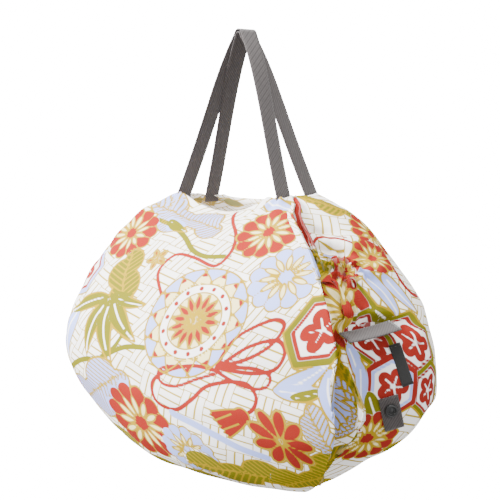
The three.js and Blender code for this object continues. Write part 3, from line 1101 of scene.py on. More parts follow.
LAYOUT: dict[Zone, tuple[Motif, ...]] = {
    Zone.FRONT: (
        Pine(-20, 30, 104, 62, 14, Ink.LAVENDER, 5.0),
        Leaf(-34, 38, 36, 12, 26),
        Cord(((-50, 38), (-26, 46), (-1, 60), (20, 76), (40, 82), (66, 80)), 5.4, Ink.OLIVE),
        Leaf(58, 5, 40, 15, 10, Ink.LAVENDER),
        Leaf(-140, 60, 46, 20, -40),
        Rosette(-77, 60, 35, Ink.RED, 12, 6),
        OpenFlower(-17, 90, 13, Ink.RED, 5, 20),
        Rosette(91, 47, 33, Ink.RED),
        Rosette(138, 99, 37, Ink.LAVENDER, 12, 14, Tier.OVER),
        Tortoise(-122, 120, 31, Ink.LAVENDER, Ink.RED, 8),
        Pine(-46, 114, 54, 48, 72, Ink.OLIVE, 6.5),
        Leaf(-96, 158, 66, 24, 94, Ink.LAVENDER),
        Leaf(-51, 140, 70, 18, 153),
        Leaf(-52, 142, 62, 18, 94),
        Leaf(-50, 142, 70, 18, 66),
        Leaf(-48, 140, 64, 18, 38),
        Leaf(-46, 138, 42, 12, 4),
        Cord(((-104, 236), (-70, 214), (-37, 203), (-9, 187), (20, 183)), 5.4, Ink.OLIVE),
        Cord(((-37, 203), (-22, 190), (-14, 170)), 4.4, Ink.OLIVE),
        Cord(((12, 130), (-5, 106), (3, 84), (28, 85), (56, 92), (65, 76), (58, 54), (38, 30),
              (24, 8)), 3.8),
        Wheel(62, 150, 55),
        Cord(((104, 190), (112, 168), (126, 153), (147, 143), (159, 148), (155, 166), (136, 180),
              (106, 190)), 4.0),
        Cord(((106, 190), (132, 170), (158, 162), (172, 173), (166, 188), (140, 193),
              (106, 191)), 4.0),
        Cord(((106, 191), (140, 188), (162, 194), (158, 205), (134, 205), (104, 194)), 3.2),
        Cord(((106, 194), (80, 192), (54, 199), (33, 214), (34, 232), (56, 235), (76, 224),
              (92, 211), (108, 205), (126, 202), (141, 204), (148, 214), (142, 225),
              (131, 231)), 3.8),
        Cord(((104, 197), (84, 204), (62, 213), (44, 212), (42, 200), (62, 194)), 3.2),
        Tassel(129, 232, 33, 158),
        Leaf(168, 208, 64, 20, -28, Ink.LAVENDER),
        Leaf(166, 206, 58, 15, -4, Ink.LAVENDER),
        Leaf(184, 212, 48, 10, -16),
        Tortoise(200, 150, 34, turn=22),
        Leaf(224, 184, 66, 21, 78, Ink.LAVENDER),
        Pine(-52, 240, 98, 66, -32, Ink.LAVENDER, 5.6),
        Rosette(0, 262, 41, Ink.RED),
        Cord(((50, 240), (70, 246), (90, 256), (110, 268), (132, 276)), 8.0, Ink.LAVENDER),
        Rosette(50, 280, 29, Ink.LAVENDER),
        Pine(206, 246, 46, 44, 80, Ink.LAVENDER),
        Pine(-66, 300, 110, 60, 18, Ink.OLIVE, 6.5),
        Pine(20, 330, 90, 54, 6, Ink.OLIVE, 6.5),
        Pine(96, 300, 110, 54, 4, Ink.OLIVE, 6.5),
        Pine(176, 296, 110, 60, -22, Ink.OLIVE, 6.5),
        OpenFlower(159, 254, 32, Ink.RED, 9, 8, Tier.OVER),
        Rosette(-120, 250, 32, Ink.RED),
        Pine(228, 300, 60, 44, -30, Ink.OLIVE, 6.5),
        Rosette(60, 372, 34, Ink.RED),
        Leaf(110, 360, 60, 18, 10, Ink.LAVENDER),
        Pine(-40, 376, 90, 46, 0, Ink.OLIVE, 6.5),
    ),
    Zone.RIGHT_END: (
        # A wide red band along the valley beside the right ridge: partly print, partly painted
        # shade of the crease.
        Cord(((-16, 2), (-38, 30), (-57, 58), (-74, 90)), 12.0, Ink.RED),
        Pine(18, 14, 46, 30, 30),
        Leaf(34, 26, 44, 14, 60, Ink.LAVENDER),
        Cord(((-44, 56), (-30, 48), (-14, 48), (0, 54)), 2.8),
        Cord(((-42, 62), (-28, 55), (-12, 55), (2, 61)), 2.4),
        Leaf(-40, 70, 40, 12, 4, Ink.LAVENDER),
        Rosette(40, 52, 27, Ink.RED),
        Pine(-52, 88, 40, 30, 60),
        Rosette(-16, 90, 25, Ink.RED, 10, 0),
        Rosette(16, 79, 22, Ink.RED, 12, 10),
        Leaf(4, 94, 54, 17, 76, Ink.LAVENDER),
        Leaf(16, 100, 48, 14, 62, Ink.LAVENDER),
        Leaf(-24, 110, 46, 17, 56),
        Leaf(-10, 136, 34, 15, 24),
        Cord(((34, 90), (34, 108), (44, 122), (60, 126)), 5.0),
        Rosette(-48, 135, 38, Ink.RED, 14, 8),
        Tortoise(-17, 164, 25, turn=10),
        Tortoise(24, 169, 27, turn=8),
        Tortoise(36, 213, 24, turn=6),
        Tortoise(-8, 206, 26, Ink.RED, Ink.LAVENDER, 4),
        Pine(-70, 188, 60, 40, 84, Ink.OLIVE, 6.5),
        Pine(-82, 226, 60, 40, 84, Ink.LAVENDER, 6.0),
        Leaf(-44, 168, 36, 15, 78, Ink.LAVENDER),
        Leaf(-37, 184, 46, 14, 88, Ink.LAVENDER),
        Leaf(-32, 210, 42, 15, 62),
        Rosette(-20, 256, 28, Ink.RED, 14, 0),
        Cord(((-52, 166), (-48, 188), (-46, 208), (-48, 228), (-55, 248), (-64, 268)), 2.4),
        Pine(-52, 278, 66, 40, 110, Ink.OLIVE, 6.5),
        Leaf(4, 268, 56, 16, -8),
        Rosette(56, 286, 28, Ink.LAVENDER),
        Pine(-10, 330, 80, 44, 20),
    ),
    Zone.BACK: (
        OpenFlower(98, 8, 14, Ink.RED, 6),
        Leaf(42, 10, 42, 14, -6),
        Pine(-118, 50, 76, 48, 30, Ink.OLIVE, 6.5),
        Rosette(122, 62, 31, Ink.RED),
        Leaf(-104, 112, 62, 17, 150),
        Leaf(-104, 112, 58, 17, 98),
        Leaf(-102, 112, 60, 17, 58),
        Cord(((-150, 150), (-120, 140), (-104, 114), (-84, 98)), 5.0, Ink.OLIVE),
        Pine(48, 92, 84, 46, -20, Ink.LAVENDER, 5.6),
        OpenFlower(-110, 196, 28, Ink.RED, 9, 10),
        Tortoise(58, 212, 32, turn=12),
        Leaf(-72, 222, 60, 19, 28, Ink.LAVENDER),
        Pine(150, 214, 76, 48, 60, Ink.LAVENDER, 5.6),
        Rosette(4, 266, 29, Ink.LAVENDER),
        Pine(-150, 276, 84, 50, -20, Ink.OLIVE, 6.5),
        Pine(104, 300, 94, 50, 8, Ink.OLIVE, 6.5),
        Rosette(-70, 60, 31, Ink.RED),
        Rosette(95, 120, 36, Ink.LAVENDER),
        Wheel(-20, 170, 52),
        Leaf(110, 40, 60, 18, 160),
        Pine(20, 40, 80, 44, 10, Ink.LAVENDER),
        Tortoise(-130, 190, 33),
        OpenFlower(100, 250, 31, Ink.RED),
        Leaf(-110, 260, 66, 20, 20, Ink.LAVENDER),
        Leaf(130, 150, 60, 14, 100),
        Leaf(124, 150, 56, 14, 70),
        Cord(((20, 196), (50, 170), (78, 176), (70, 200), (22, 204)), 3.4),
        Cord(((10, 214), (30, 246), (56, 230), (70, 256), (50, 280)), 3.2),
        Pine(0, 320, 96, 46, 0),
        Pine(-110, 320, 80, 44, 20),
        Rosette(-50, 270, 28, Ink.RED),
        Rosette(50, 350, 30, Ink.LAVENDER),
        Rosette(140, 330, 28, Ink.RED),
    ),
    Zone.LEFT_END: (
        Pine(4, 26, 70, 38, 24),
        Rosette(-40, 60, 27, Ink.RED),
        Leaf(44, 60, 52, 16, 70, Ink.LAVENDER),
        Rosette(-48, 132, 30, Ink.LAVENDER),
        Leaf(-6, 124, 46, 15, 62),
        Pine(-66, 250, 70, 40, 80, Ink.OLIVE, 6.5),
        Rosette(14, 276, 28, Ink.RED),
        Tortoise(0, 170, 29),
        Tortoise(-46, 200, 29),
        Tortoise(8, 224, 28, Ink.RED, Ink.LAVENDER),
        Rosette(10, 100, 28, Ink.RED),
        Leaf(30, 250, 50, 16, 70),
        Pine(0, 310, 80, 44, 30, Ink.LAVENDER),
    ),
}


def new_mesh(name: str, points: np.ndarray, faces: list, node: str) -> bpy.types.Object:
    """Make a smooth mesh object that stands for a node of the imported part.

    Args:
        name: Name of the piece.
        points: Places in millimetres.
        faces: Corner numbers of each face, outward.
        node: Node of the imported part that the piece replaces.

    Returns:
        The new object.
    """
    mesh = bpy.data.meshes.new(name)
    mesh.from_pydata((points * MM).tolist(), [], faces)
    mesh.polygons.foreach_set("use_smooth", [True] * len(mesh.polygons))
    piece = bpy.data.objects.new(name, mesh)
    bpy.context.scene.collection.objects.link(piece)
    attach(piece, BODY)
    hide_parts(node)
    LOG.info("%s: %d points, %d faces", name, len(points), len(faces))
    return piece


def face_outwards(mesh: bpy.types.Mesh) -> None:
    """Turn the mesh the right way round if its volume is negative.

    Args:
        mesh: Closed mesh.
    """
    places = np.zeros(len(mesh.vertices) * 3)
    mesh.vertices.foreach_get("co", places)
    places = places.reshape(-1, 3)
    mesh.calc_loop_triangles()
    corners = np.array([t.vertices[:] for t in mesh.loop_triangles])
    a, b, c = places[corners[:, 0]], places[corners[:, 1]], places[corners[:, 2]]
    if np.einsum("ij,ij->i", a, np.cross(b, c)).sum() < 0:
        mesh.flip_normals()


class Wire:
    """A number that flows through a node tree, so that formulas read as formulas."""

    def __init__(self, tree: bpy.types.NodeTree, source: bpy.types.NodeSocket) -> None:
        """Hold an output socket of a tree."""
        self.tree = tree
        self.source = source

    def _join(self, operation: str, *others: Wire | float) -> Wire:
        """Put a Math node after this value.

        Args:
            operation: Name of the operation.
            others: Further inputs.

        Returns:
            The node's output.
        """
        node = self.tree.nodes.new("ShaderNodeMath")
        node.operation = operation
        for socket, value in zip(node.inputs, (self, *others)):
            if isinstance(value, Wire):
                self.tree.links.new(value.source, socket)
            else:
                socket.default_value = value
        return Wire(self.tree, node.outputs[0])

    def __add__(self, other: Wire | float) -> Wire:
        """Sum."""
        return self._join("ADD", other)

    def __sub__(self, other: Wire | float) -> Wire:
        """Difference."""
        return self._join("SUBTRACT", other)

    def __mul__(self, other: Wire | float) -> Wire:
        """Product."""
        return self._join("MULTIPLY", other)

    def __truediv__(self, other: Wire | float) -> Wire:
        """Quotient."""
        return self._join("DIVIDE", other)

    def absolute(self) -> Wire:
        """Size without sign."""
        return self._join("ABSOLUTE")

    def floor(self) -> Wire:
        """Whole number below."""
        return self._join("FLOOR")

    def remainder(self, period: float) -> Wire:
        """What is left above a whole number of periods."""
        return self._join("FLOORED_MODULO", period)

    def sine(self) -> Wire:
        """Sine of an angle in radians."""
        return self._join("SINE")

    def most(self, other: Wire | float) -> Wire:
        """The larger of two values."""
        return self._join("MAXIMUM", other)

    def least(self, other: Wire | float) -> Wire:
        """The smaller of two values."""
        return self._join("MINIMUM", other)

    def clamped(self) -> Wire:
        """The value held between 0 and 1."""
        return self.most(0.0).least(1.0)

    def below(self, limit: float, feather: float) -> Wire:
        """A mask that is 1 where the value is under a limit, with a soft edge."""
        return ((self * -1.0 + limit) * (1.0 / feather) + 0.5).clamped()


class Shading:
    """Node groups and materials shared by the bag's pieces."""

    def __init__(self) -> None:
        """Build the shared groups."""
        self.weave = self._weave_group()
        self.mottle = self._mottle_group()
        self.printed = self._print_group()

    @staticmethod
    def _group(name: str, inputs: dict[str, float | tuple], outputs: tuple[str, ...]) -> tuple:
        """Start a shader group.

        Args:
            name: Name of the group.
            inputs: Default of each input: a number, a vector or a colour with its alpha.
            outputs: Name of each output; the one named Colour is a colour.

        Returns:
            The tree, its input node and its output node.
        """
        kinds = {1: "NodeSocketFloat", 3: "NodeSocketVector", 4: "NodeSocketColor"}
        tree = bpy.data.node_groups.new(name, "ShaderNodeTree")
        for label, default in inputs.items():
            kind = kinds[np.size(default)]
            socket = tree.interface.new_socket(label, in_out="INPUT", socket_type=kind)
            socket.default_value = default
        for label in outputs:
            kind = kinds[4 if label == "Colour" else 1]
            tree.interface.new_socket(label, in_out="OUTPUT", socket_type=kind)
        return tree, tree.nodes.new("NodeGroupInput"), tree.nodes.new("NodeGroupOutput")

    @staticmethod
    def parts(tree: bpy.types.NodeTree, vector: bpy.types.NodeSocket) -> list[Wire]:
        """The three numbers of a vector.

        Args:
            tree: Tree to build in.
            vector: Socket of the vector.

        Returns:
            The numbers, in order.
        """
        split = tree.nodes.new("ShaderNodeSeparateXYZ")
        tree.links.new(vector, split.inputs[0])
        return [Wire(tree, socket) for socket in split.outputs]

    @staticmethod
    def blend(tree: bpy.types.NodeTree, mask: Wire, under: bpy.types.NodeSocket | tuple,
              over: bpy.types.NodeSocket | tuple) -> bpy.types.NodeSocket:
        """Lay one colour over another by a mask.

        Args:
            tree: Tree to build in.
            mask: 0 for the colour below, 1 for the colour above.
            under: Colour below.
            over: Colour above.

        Returns:
            The mixed colour's socket.
        """
        node = tree.nodes.new("ShaderNodeMix")
        node.data_type = "RGBA"
        tree.links.new(mask.source, node.inputs["Factor"])
        for socket, value in ((node.inputs[6], under), (node.inputs[7], over)):
            if isinstance(value, bpy.types.NodeSocket):
                tree.links.new(value, socket)
            else:
                socket.default_value = (*value, 1.0)
        return node.outputs[2]

    def _weave_group(self) -> bpy.types.NodeTree:
        """Woven threads: a height for bump and a mask that darkens the gaps.

        Returns:
            The group.
        """
        tree, ins, outs = self._group(
            "woven_threads", {"Place": (0, 0, 0), "Pitch": 1.0, "Slant": 0.0, "Twill": 0.0},
            ("Height", "Gap"),
        )
        along, across, _ = self.parts(tree, ins.outputs["Place"])
        pitch = Wire(tree, ins.outputs["Pitch"])
        slant = Wire(tree, ins.outputs["Slant"])
        x = along / pitch * (2 * math.pi)
        y = across / pitch * (2 * math.pi)
        warp = (x + y * slant).sine()
        weft = (y - x * slant).sine()
        twill = Wire(tree, ins.outputs["Twill"])
        height = (warp * (weft * (twill * -1.0 + 1.0) + twill)) * 0.5 + 0.5
        gap = (warp.absolute().least(weft.absolute() + twill)).below(0.35, 0.5)
        tree.links.new(height.source, outs.inputs["Height"])
        tree.links.new(gap.source, outs.inputs["Gap"])
        return tree

    def _mottle_group(self) -> bpy.types.NodeTree:
        """Soft uneven tone, as dye and handling leave on cloth.

        Returns:
            The group.
        """
        tree, ins, outs = self._group(
            "uneven_tone",
            {"Colour": (1, 1, 1, 1), "Place": (0, 0, 0), "Grain": 40.0, "Amount": 0.1},
            ("Colour", "Mask"),
        )
        noise = tree.nodes.new("ShaderNodeTexNoise")
        noise.inputs["Detail"].default_value = 4.0
        tree.links.new(ins.outputs["Place"], noise.inputs["Vector"])
        tree.links.new(ins.outputs["Grain"], noise.inputs["Scale"])
        mask = Wire(tree, noise.outputs["Fac"])
        tone = (mask - 0.5) * 2.0 * Wire(tree, ins.outputs["Amount"]) + 1.0
        scale = tree.nodes.new("ShaderNodeVectorMath")
        scale.operation = "SCALE"
        tree.links.new(ins.outputs["Colour"], scale.inputs[0])
        tree.links.new(tone.source, scale.inputs["Scale"])
        tree.links.new(scale.outputs[0], outs.inputs["Colour"])
        tree.links.new(mask.source, outs.inputs["Mask"])
        return tree

    def _print_group(self) -> bpy.types.NodeTree:
        """The print's colours from its signed distances, over a fretted ground.

        Returns:
            The group.
        """
        inks = PrintInks()
        tree, ins, outs = self._group(
            "cloth_print",
            {"Place": (0, 0, 0), "Fill": (0, 0, 0), "Under": (0, 0, 0), "Over": (0, 0, 0),
             "Outline": 0.95, "Vein": 0.8},
            ("Colour",),
        )
        across, down, _ = self.parts(tree, ins.outputs["Place"])
        red, olive, lavender = self.parts(tree, ins.outputs["Fill"])
        under_edge, under_line, gold = self.parts(tree, ins.outputs["Under"])
        over_edge, over_line, inside = self.parts(tree, ins.outputs["Over"])
        outline = Wire(tree, ins.outputs["Outline"])
        vein = Wire(tree, ins.outputs["Vein"])
        feather = 0.7
        paler_inside = 0.08

        def line_mask(distance: Wire, half: Wire) -> Wire:
            """A mask along a line of a given half width."""
            return ((half - distance.absolute()) * (1.0 / feather) + 0.5).clamped()

        bare = (over_edge * -1.0).below(0.0, feather)
        ground = bare * (under_edge * -1.0).below(0.0, feather)
        colour = self.blend(tree, self._fret(across, down) * ground, inks.paper, inks.pale_gold)
        for edge, ink in ((gold, inks.cream), (lavender, inks.lavender), (olive, inks.olive),
                          (red, inks.red)):
            colour = self.blend(tree, edge.below(0.0, feather), colour, ink)
        in_under = under_edge.below(0.0, feather) * bare
        in_over = over_edge.below(0.0, feather)
        strokes = line_mask(under_line, vein) * in_under
        strokes = strokes.most(line_mask(over_line, vein) * in_over)
        strokes = strokes.most(line_mask(under_edge, outline) * bare)
        strokes = strokes.most(line_mask(over_edge, outline))
        colour = self.blend(tree, strokes, colour, inks.gold)
        colour = self.blend(tree, inside * paler_inside, colour, inks.paper)
        tree.links.new(colour, outs.inputs["Colour"])
        return tree

    @staticmethod
    def _fret(across: Wire, down: Wire) -> Wire:
        """Thin lines of a woven fence pattern, turned a little off the cloth's grain.

        Args:
            across: Distance across the print.
            down: Distance down the print.

        Returns:
            A mask of the lines.
        """
        turn = math.radians(14)
        cell, rail, half = 24.0, 8.0, 0.85
        x = across * math.cos(turn) + down * math.sin(turn)
        y = down * math.cos(turn) - across * math.sin(turn)
        skewed = x + y * 0.25
        checker = ((skewed / cell).floor() + (y / cell).floor()).remainder(2.0)

        def rails(place: Wire) -> Wire:
            """Lines at every rail's pitch."""
            off = (place.remainder(rail) - rail / 2).absolute() * -1.0 + rail / 2
            return off.below(half, 0.5)

        return rails(y) * (checker * -1.0 + 1.0) + rails(skewed) * checker


@dataclass(frozen=True)
class PrintInks:
    """Linear colours of the print."""

    paper: tuple[float, float, float] = (0.92, 0.90, 0.88)
    red: tuple[float, float, float] = (0.25, 0.010, 0.006)
    olive: tuple[float, float, float] = (0.145, 0.136, 0.0004)
    lavender: tuple[float, float, float] = (0.34, 0.42, 0.86)
    gold: tuple[float, float, float] = (0.35, 0.225, 0.001)
    cream: tuple[float, float, float] = (0.82, 0.70, 0.33)
    pale_gold: tuple[float, float, float] = (0.38, 0.26, 0.008)


class Surface:
    """A material under construction, around its shader node."""

    def __init__(self, name: str) -> None:
        """Start a material.

        Args:
            name: Name of the material.
        """
        self.material = bpy.data.materials.new(name)
        self.material.use_nodes = True
        self.tree = self.material.node_tree
        self.shader = self.tree.nodes["Principled BSDF"]

    def cloth_place(self) -> bpy.types.NodeSocket:
        """Places along the cloth in millimetres, from the UV map in metres.

        Returns:
            The socket that gives the places.
        """
        layout = self.tree.nodes.new("ShaderNodeUVMap")
        layout.uv_map = "cloth"
        place = self.tree.nodes.new("ShaderNodeVectorMath")
        place.operation = "SCALE"
        place.inputs["Scale"].default_value = 1 / MM
        self.tree.links.new(layout.outputs["UV"], place.inputs[0])
        return place.outputs[0]

    def group(self, group: bpy.types.NodeTree, place: bpy.types.NodeSocket,
              **values: float | tuple | bpy.types.NodeSocket) -> bpy.types.Node:
        """Add a node of a shared group.

        Args:
            group: The group.
            place: Places to work at.
            values: Further inputs by name, as values or as sockets.

        Returns:
            The node.
        """
        node = self.tree.nodes.new("ShaderNodeGroup")
        node.node_tree = group
        self.tree.links.new(place, node.inputs["Place"])
        for label, value in values.items():
            if isinstance(value, bpy.types.NodeSocket):
                self.tree.links.new(value, node.inputs[label])
            else:
                node.inputs[label].default_value = value
        return node

    def finish(self, colour: bpy.types.NodeSocket, rough: Wire, height: bpy.types.NodeSocket,
               relief: float, depth: float) -> bpy.types.Material:
        """Wire colour, roughness and bump to the shader.

        Args:
            colour: Base colour.
            rough: Roughness.
            height: Height of the bump.
            relief: Strength of the bump.
            depth: Height of its relief in millimetres.

        Returns:
            The material.
        """
        join = self.tree.links.new
        join(colour, self.shader.inputs["Base Color"])
        join(rough.source, self.shader.inputs["Roughness"])
        bump = self.tree.nodes.new("ShaderNodeBump")
        bump.inputs["Strength"].default_value = relief
        bump.inputs["Distance"].default_value = depth * MM
        join(height, bump.inputs["Height"])
        join(bump.outputs["Normal"], self.shader.inputs["Normal"])
        return self.material


@dataclass(frozen=True)
class ClothFinish:
    """Thin printed polyester with a fine plain weave."""

    roughness: float = 0.75
    uneven: float = 0.1
    specular: float = 0.015
    pitch: float = 1.7
    gap_share: float = 0.12
    gap_colour: tuple[float, float, float] = (0.30, 0.25, 0.20)
    relief: float = 0.3
    depth: float = 0.15

    def build(self, shading: Shading) -> bpy.types.Material:
        """Make the material.

        Args:
            shading: Shared groups.

        Returns:
            The printed cloth.
        """
        surface = Surface("printed_cloth")
        tree = surface.tree
        surface.shader.inputs["Specular IOR Level"].default_value = self.specular
        place = surface.cloth_place()
        fields = {}
        for name in PRINT_BLOCKS:
            reader = tree.nodes.new("ShaderNodeAttribute")
            reader.attribute_name = name
            fields[name.removeprefix("print_").capitalize()] = reader.outputs["Vector"]
        printed = surface.group(shading.printed, place, **fields)
        weave = surface.group(shading.weave, place, Pitch=self.pitch)
        mottle = surface.group(shading.mottle, place, Colour=printed.outputs["Colour"],
                               Grain=0.02, Amount=0.07)
        gap = Wire(tree, weave.outputs["Gap"]) * self.gap_share
        shaded = Shading.blend(tree, gap, mottle.outputs["Colour"], self.gap_colour)
        rough = Wire(tree, mottle.outputs["Mask"]) * self.uneven + self.roughness
        return surface.finish(shaded, rough, weave.outputs["Height"], self.relief, self.depth)


@dataclass(frozen=True)
class WovenFinish:
    """Webbing, woven tape, label or thread, laid along a UV map in metres."""

    name: str
    colour: tuple[float, float, float]
    gap_colour: tuple[float, float, float]
    pitch: float
    slant: float
    roughness: float = 0.79
    uneven: float = 0.12
    sheen: float = 0.25
    specular: float = 0.25
    relief: float = 0.6
    depth: float = 0.25
    contrast: float = 0.5
    twill: float = 0.0

    def build(self, shading: Shading) -> bpy.types.Material:
        """Make the material.

        Args:
            shading: Shared groups.

        Returns:
            The woven material.
        """
        surface = Surface(self.name)
        surface.shader.inputs["Sheen Weight"].default_value = self.sheen
        surface.shader.inputs["Specular IOR Level"].default_value = self.specular
        place = surface.cloth_place()
        weave = surface.group(shading.weave, place, Pitch=self.pitch, Slant=self.slant,
                              Twill=self.twill)
        mask = Wire(surface.tree, weave.outputs["Gap"]) * self.contrast
        threads = Shading.blend(surface.tree, mask, self.colour, self.gap_colour)
        mottle = surface.group(shading.mottle, place, Colour=threads, Grain=0.25, Amount=0.25)
        rough = Wire(surface.tree, mottle.outputs["Mask"]) * self.uneven + self.roughness
        return surface.finish(mottle.outputs["Colour"], rough, weave.outputs["Height"],
                              self.relief, self.depth)


@dataclass(frozen=True)
class SnapFinish:
    """Black moulded plastic with worn specks."""

    colour: tuple[float, float, float] = (0.006, 0.006, 0.0065)
    worn: tuple[float, float, float] = (0.02, 0.02, 0.021)
    roughness: float = 0.38
    uneven: float = 0.15
    relief: float = 0.15
    depth: float = 0.05

    def build(self, shading: Shading) -> bpy.types.Material:
        """Make the material.

        Args:
            shading: Shared groups.

        Returns:
            The plastic.
        """
        surface = Surface("snap_plastic")
        place = surface.tree.nodes.new("ShaderNodeTexCoord")
        mottle = surface.group(shading.mottle, place.outputs["Object"],
                               Colour=(*self.colour, 1.0), Grain=900.0, Amount=0.3)
        mask = mottle.outputs["Mask"]
        scuff = (Wire(surface.tree, mask) * -1.0).below(-0.62, 0.1) * 0.5
        colour = Shading.blend(surface.tree, scuff, mottle.outputs["Colour"], self.worn)
        rough = Wire(surface.tree, mask) * self.uneven + self.roughness
        return surface.finish(colour, rough, mask, self.relief, self.depth)


@dataclass
class BagCloth:
    """The printed cloth: outer skin, inner skin and hem as one closed sheet."""

    form: BagForm
    inner_step: int = 4
    hem_thickness: float = 1.6
    low_thickness: float = 2.2
    thicker_from: float = 40.0
    thicker_reach: float = 60.0
    near_scale: float = 0.78
    growth: float = 0.00095
    held_reach: float = 200.0
    pull: float = 1.1
    pull_reach: float = 22.0

    def build(self, material: bpy.types.Material) -> bpy.types.Object:
        """Make the piece.

        Args:
            material: The printed cloth.

        Returns:
            The bag's cloth.
        """
        form = self.form
        self.outer = Wrinkles(form).apply()
        self.outer_normals = form.normals(self.outer)
        rows, columns = self.outer.shape[:2]
        step = self.inner_step
        thicker = ease((form.down - self.thicker_from) / self.thicker_reach)
        lower = mix(form.thickness, self.low_thickness, thicker)
        depth = np.where(form.down < form.hem_fold, self.hem_thickness, lower)[:, None, None]
        self.inner = (self.outer - self.outer_normals * depth)[::step, ::step]
        middle = form.base_middle
        ends = np.array([middle, middle + np.array([0.0, 0.0, form.thickness])])
        points = np.concatenate([self.outer.reshape(-1, 3), self.inner.reshape(-1, 3), ends])
        self._index(rows, columns)
        faces, corners = self._faces()
        piece = new_mesh("bag_cloth", points, faces, "bag_body")
        self._store(piece.data, corners)
        piece.data.materials.append(material)
        return piece

    def _index(self, rows: int, columns: int) -> None:
        """Number the points of both skins.

        Args:
            rows: Rows of the outer skin.
            columns: Columns of the outer skin.
        """
        inner_rows, inner_columns = self.inner.shape[:2]
        first = rows * columns
        self.outer_id = np.arange(first).reshape(rows, columns)
        count = inner_rows * inner_columns
        self.inner_id = first + np.arange(count).reshape(inner_rows, inner_columns)
        self.middle_id = (first + count, first + count + 1)

    def _zone_fields(self, zone: Zone) -> np.ndarray:
        """Print values at every point of a zone.

        Args:
            zone: Stretch of cloth.

        Returns:
            Rows by columns by 11: place, fills, under, over.
        """
        across, down, _ = self.form.print_coordinates(zone)
        if zone is Zone.FRONT:
            across = self._widened(across)
        if zone is Zone.RIGHT_END:
            across, down = self._pulled(across, down)
        canvas = PrintCanvas(across, down)
        for motif in LAYOUT[zone]:
            motif.draw(canvas)
        return np.stack([
            across * MM, down * MM,
            canvas.ink[Ink.RED], canvas.ink[Ink.OLIVE], canvas.ink[Ink.LAVENDER],
            canvas.edge[Tier.UNDER], canvas.line[Tier.UNDER], canvas.ink[Ink.GOLD],
            canvas.edge[Tier.OVER], canvas.line[Tier.OVER], np.zeros(across.shape),
        ], axis=-1)

    def _widened(self, across: np.ndarray) -> np.ndarray:
        """The front's print, drawn larger across the slack cloth towards the left ridge.

        Args:
            across: Distance across the cloth.

        Returns:
            Distance across the print.
        """
        held = np.clip(across, -self.held_reach, self.held_reach)
        scale = self.near_scale + 2 * self.growth * held
        return self.near_scale * held + self.growth * held**2 + scale * (across - held)

    def _pulled(self, across: np.ndarray, down: np.ndarray) -> tuple[np.ndarray, np.ndarray]:
        """The right end's print, drawn together where the cloth is gathered.

        Args:
            across: Distance across the cloth.
            down: Distance down the cloth.

        Returns:
            Distances across and down the print.
        """
        du, dv = across - KNOT[0], down - KNOT[1]
        pull = self.pull * np.exp(-((np.hypot(du, dv) / self.pull_reach) ** 2))
        return across + du * pull, down + dv * pull

    def _faces(self) -> tuple[list, np.ndarray]:
        """Faces of both skins, the hem's rim and the base.

        Returns:
            Corner numbers of each face, and the print values of each corner.
        """
        faces: list = []
        values: list[np.ndarray] = []
        step = self.inner_step
        outer, inner = self.outer_id, self.inner_id
        outer_wrap = np.concatenate([outer, outer[:, :1]], axis=1)
        inner_wrap = np.concatenate([inner, inner[:, :1]], axis=1)
        for zone, (first, last, _) in self.form.zones.items():
            grid = self._zone_fields(zone)
            ids = outer_wrap[:, first:last + 1]
            self._add_grid(faces, values, ids, grid, flip=False)
            coarse = grid[::step, ::step].copy()
            coarse[..., INSIDE_COLUMN] = 1.0
            ids = inner_wrap[:, first // step:last // step + 1]
            self._add_grid(faces, values, ids, coarse, flip=True)
            self._add_rim(faces, values, outer_wrap[0, first:last + 1], ids[0], grid[0])
            self._add_fan(faces, values, outer_wrap[-1, first:last + 1], grid[-1], 0)
            self._add_fan(faces, values, ids[-1], coarse[-1], 1)
        return faces, np.concatenate(values)

    @staticmethod
    def _add_grid(faces: list, values: list[np.ndarray], ids: np.ndarray, grid: np.ndarray,
                  flip: bool) -> None:
        """Add a grid of four-sided faces with their corner values.

        Args:
            faces: Faces so far.
            values: Print values of their corners so far.
            ids: Numbers of the grid's points.
            grid: Print values at its points.
            flip: Whether the faces look inwards.
        """
        order = ((0, 0), (1, 0), (1, 1), (0, 1))
        if flip:
            order = order[::-1]
        rows, columns = ids.shape

        def corner(source: np.ndarray, down: int, across: int) -> np.ndarray:
            """The values at one corner of every face."""
            return source[down:rows - 1 + down, across:columns - 1 + across]

        quads = np.stack([corner(ids, *at) for at in order], axis=-1)
        faces.extend(quads.reshape(-1, 4).tolist())
        stacked = np.stack([corner(grid, *at) for at in order], axis=2)
        values.append(stacked.reshape(-1, grid.shape[-1]))

    def _add_rim(self, faces: list, values: list[np.ndarray], outer: np.ndarray,
                 inner: np.ndarray, row: np.ndarray) -> None:
        """Close the hem between the fine outer skin and the coarser inner one.

        Args:
            faces: Faces so far.
            values: Print values of their corners so far.
            outer: Points of the outer skin's hem.
            inner: Points of the inner skin's hem.
            row: Print values along the hem.
        """
        step = self.inner_step
        for k in range(len(inner) - 1):
            a = k * step
            middle = a + step // 2
            fan = [((outer[i], i), (outer[i + 1], i + 1), (inner[k], a)) for i in range(a, middle)]
            fan.append(((outer[middle], middle), (inner[k + 1], a + step), (inner[k], a)))
            fan += [
                ((outer[i], i), (outer[i + 1], i + 1), (inner[k + 1], a + step))
                for i in range(middle, a + step)
            ]
            for triangle in fan:
                faces.append([int(point) for point, _ in triangle])
                values.append(row[[at for _, at in triangle]])

    def _add_fan(self, faces: list, values: list[np.ndarray], ring: np.ndarray,
                 row: np.ndarray, skin: int) -> None:
        """Close a skin at the middle of the base.

        Args:
            faces: Faces so far.
            values: Print values of their corners so far.
            ring: Points around the hole.
            row: Print values along them.
            skin: 0 for the outer skin, 1 for the inner one.
        """
        middle = self.middle_id[skin]
        for k in range(len(ring) - 1):
            pair = (k, k + 1) if skin == 0 else (k + 1, k)
            faces.append([int(ring[pair[0]]), middle, int(ring[pair[1]])])
            values.append(row[[pair[0], pair[0], pair[1]]])

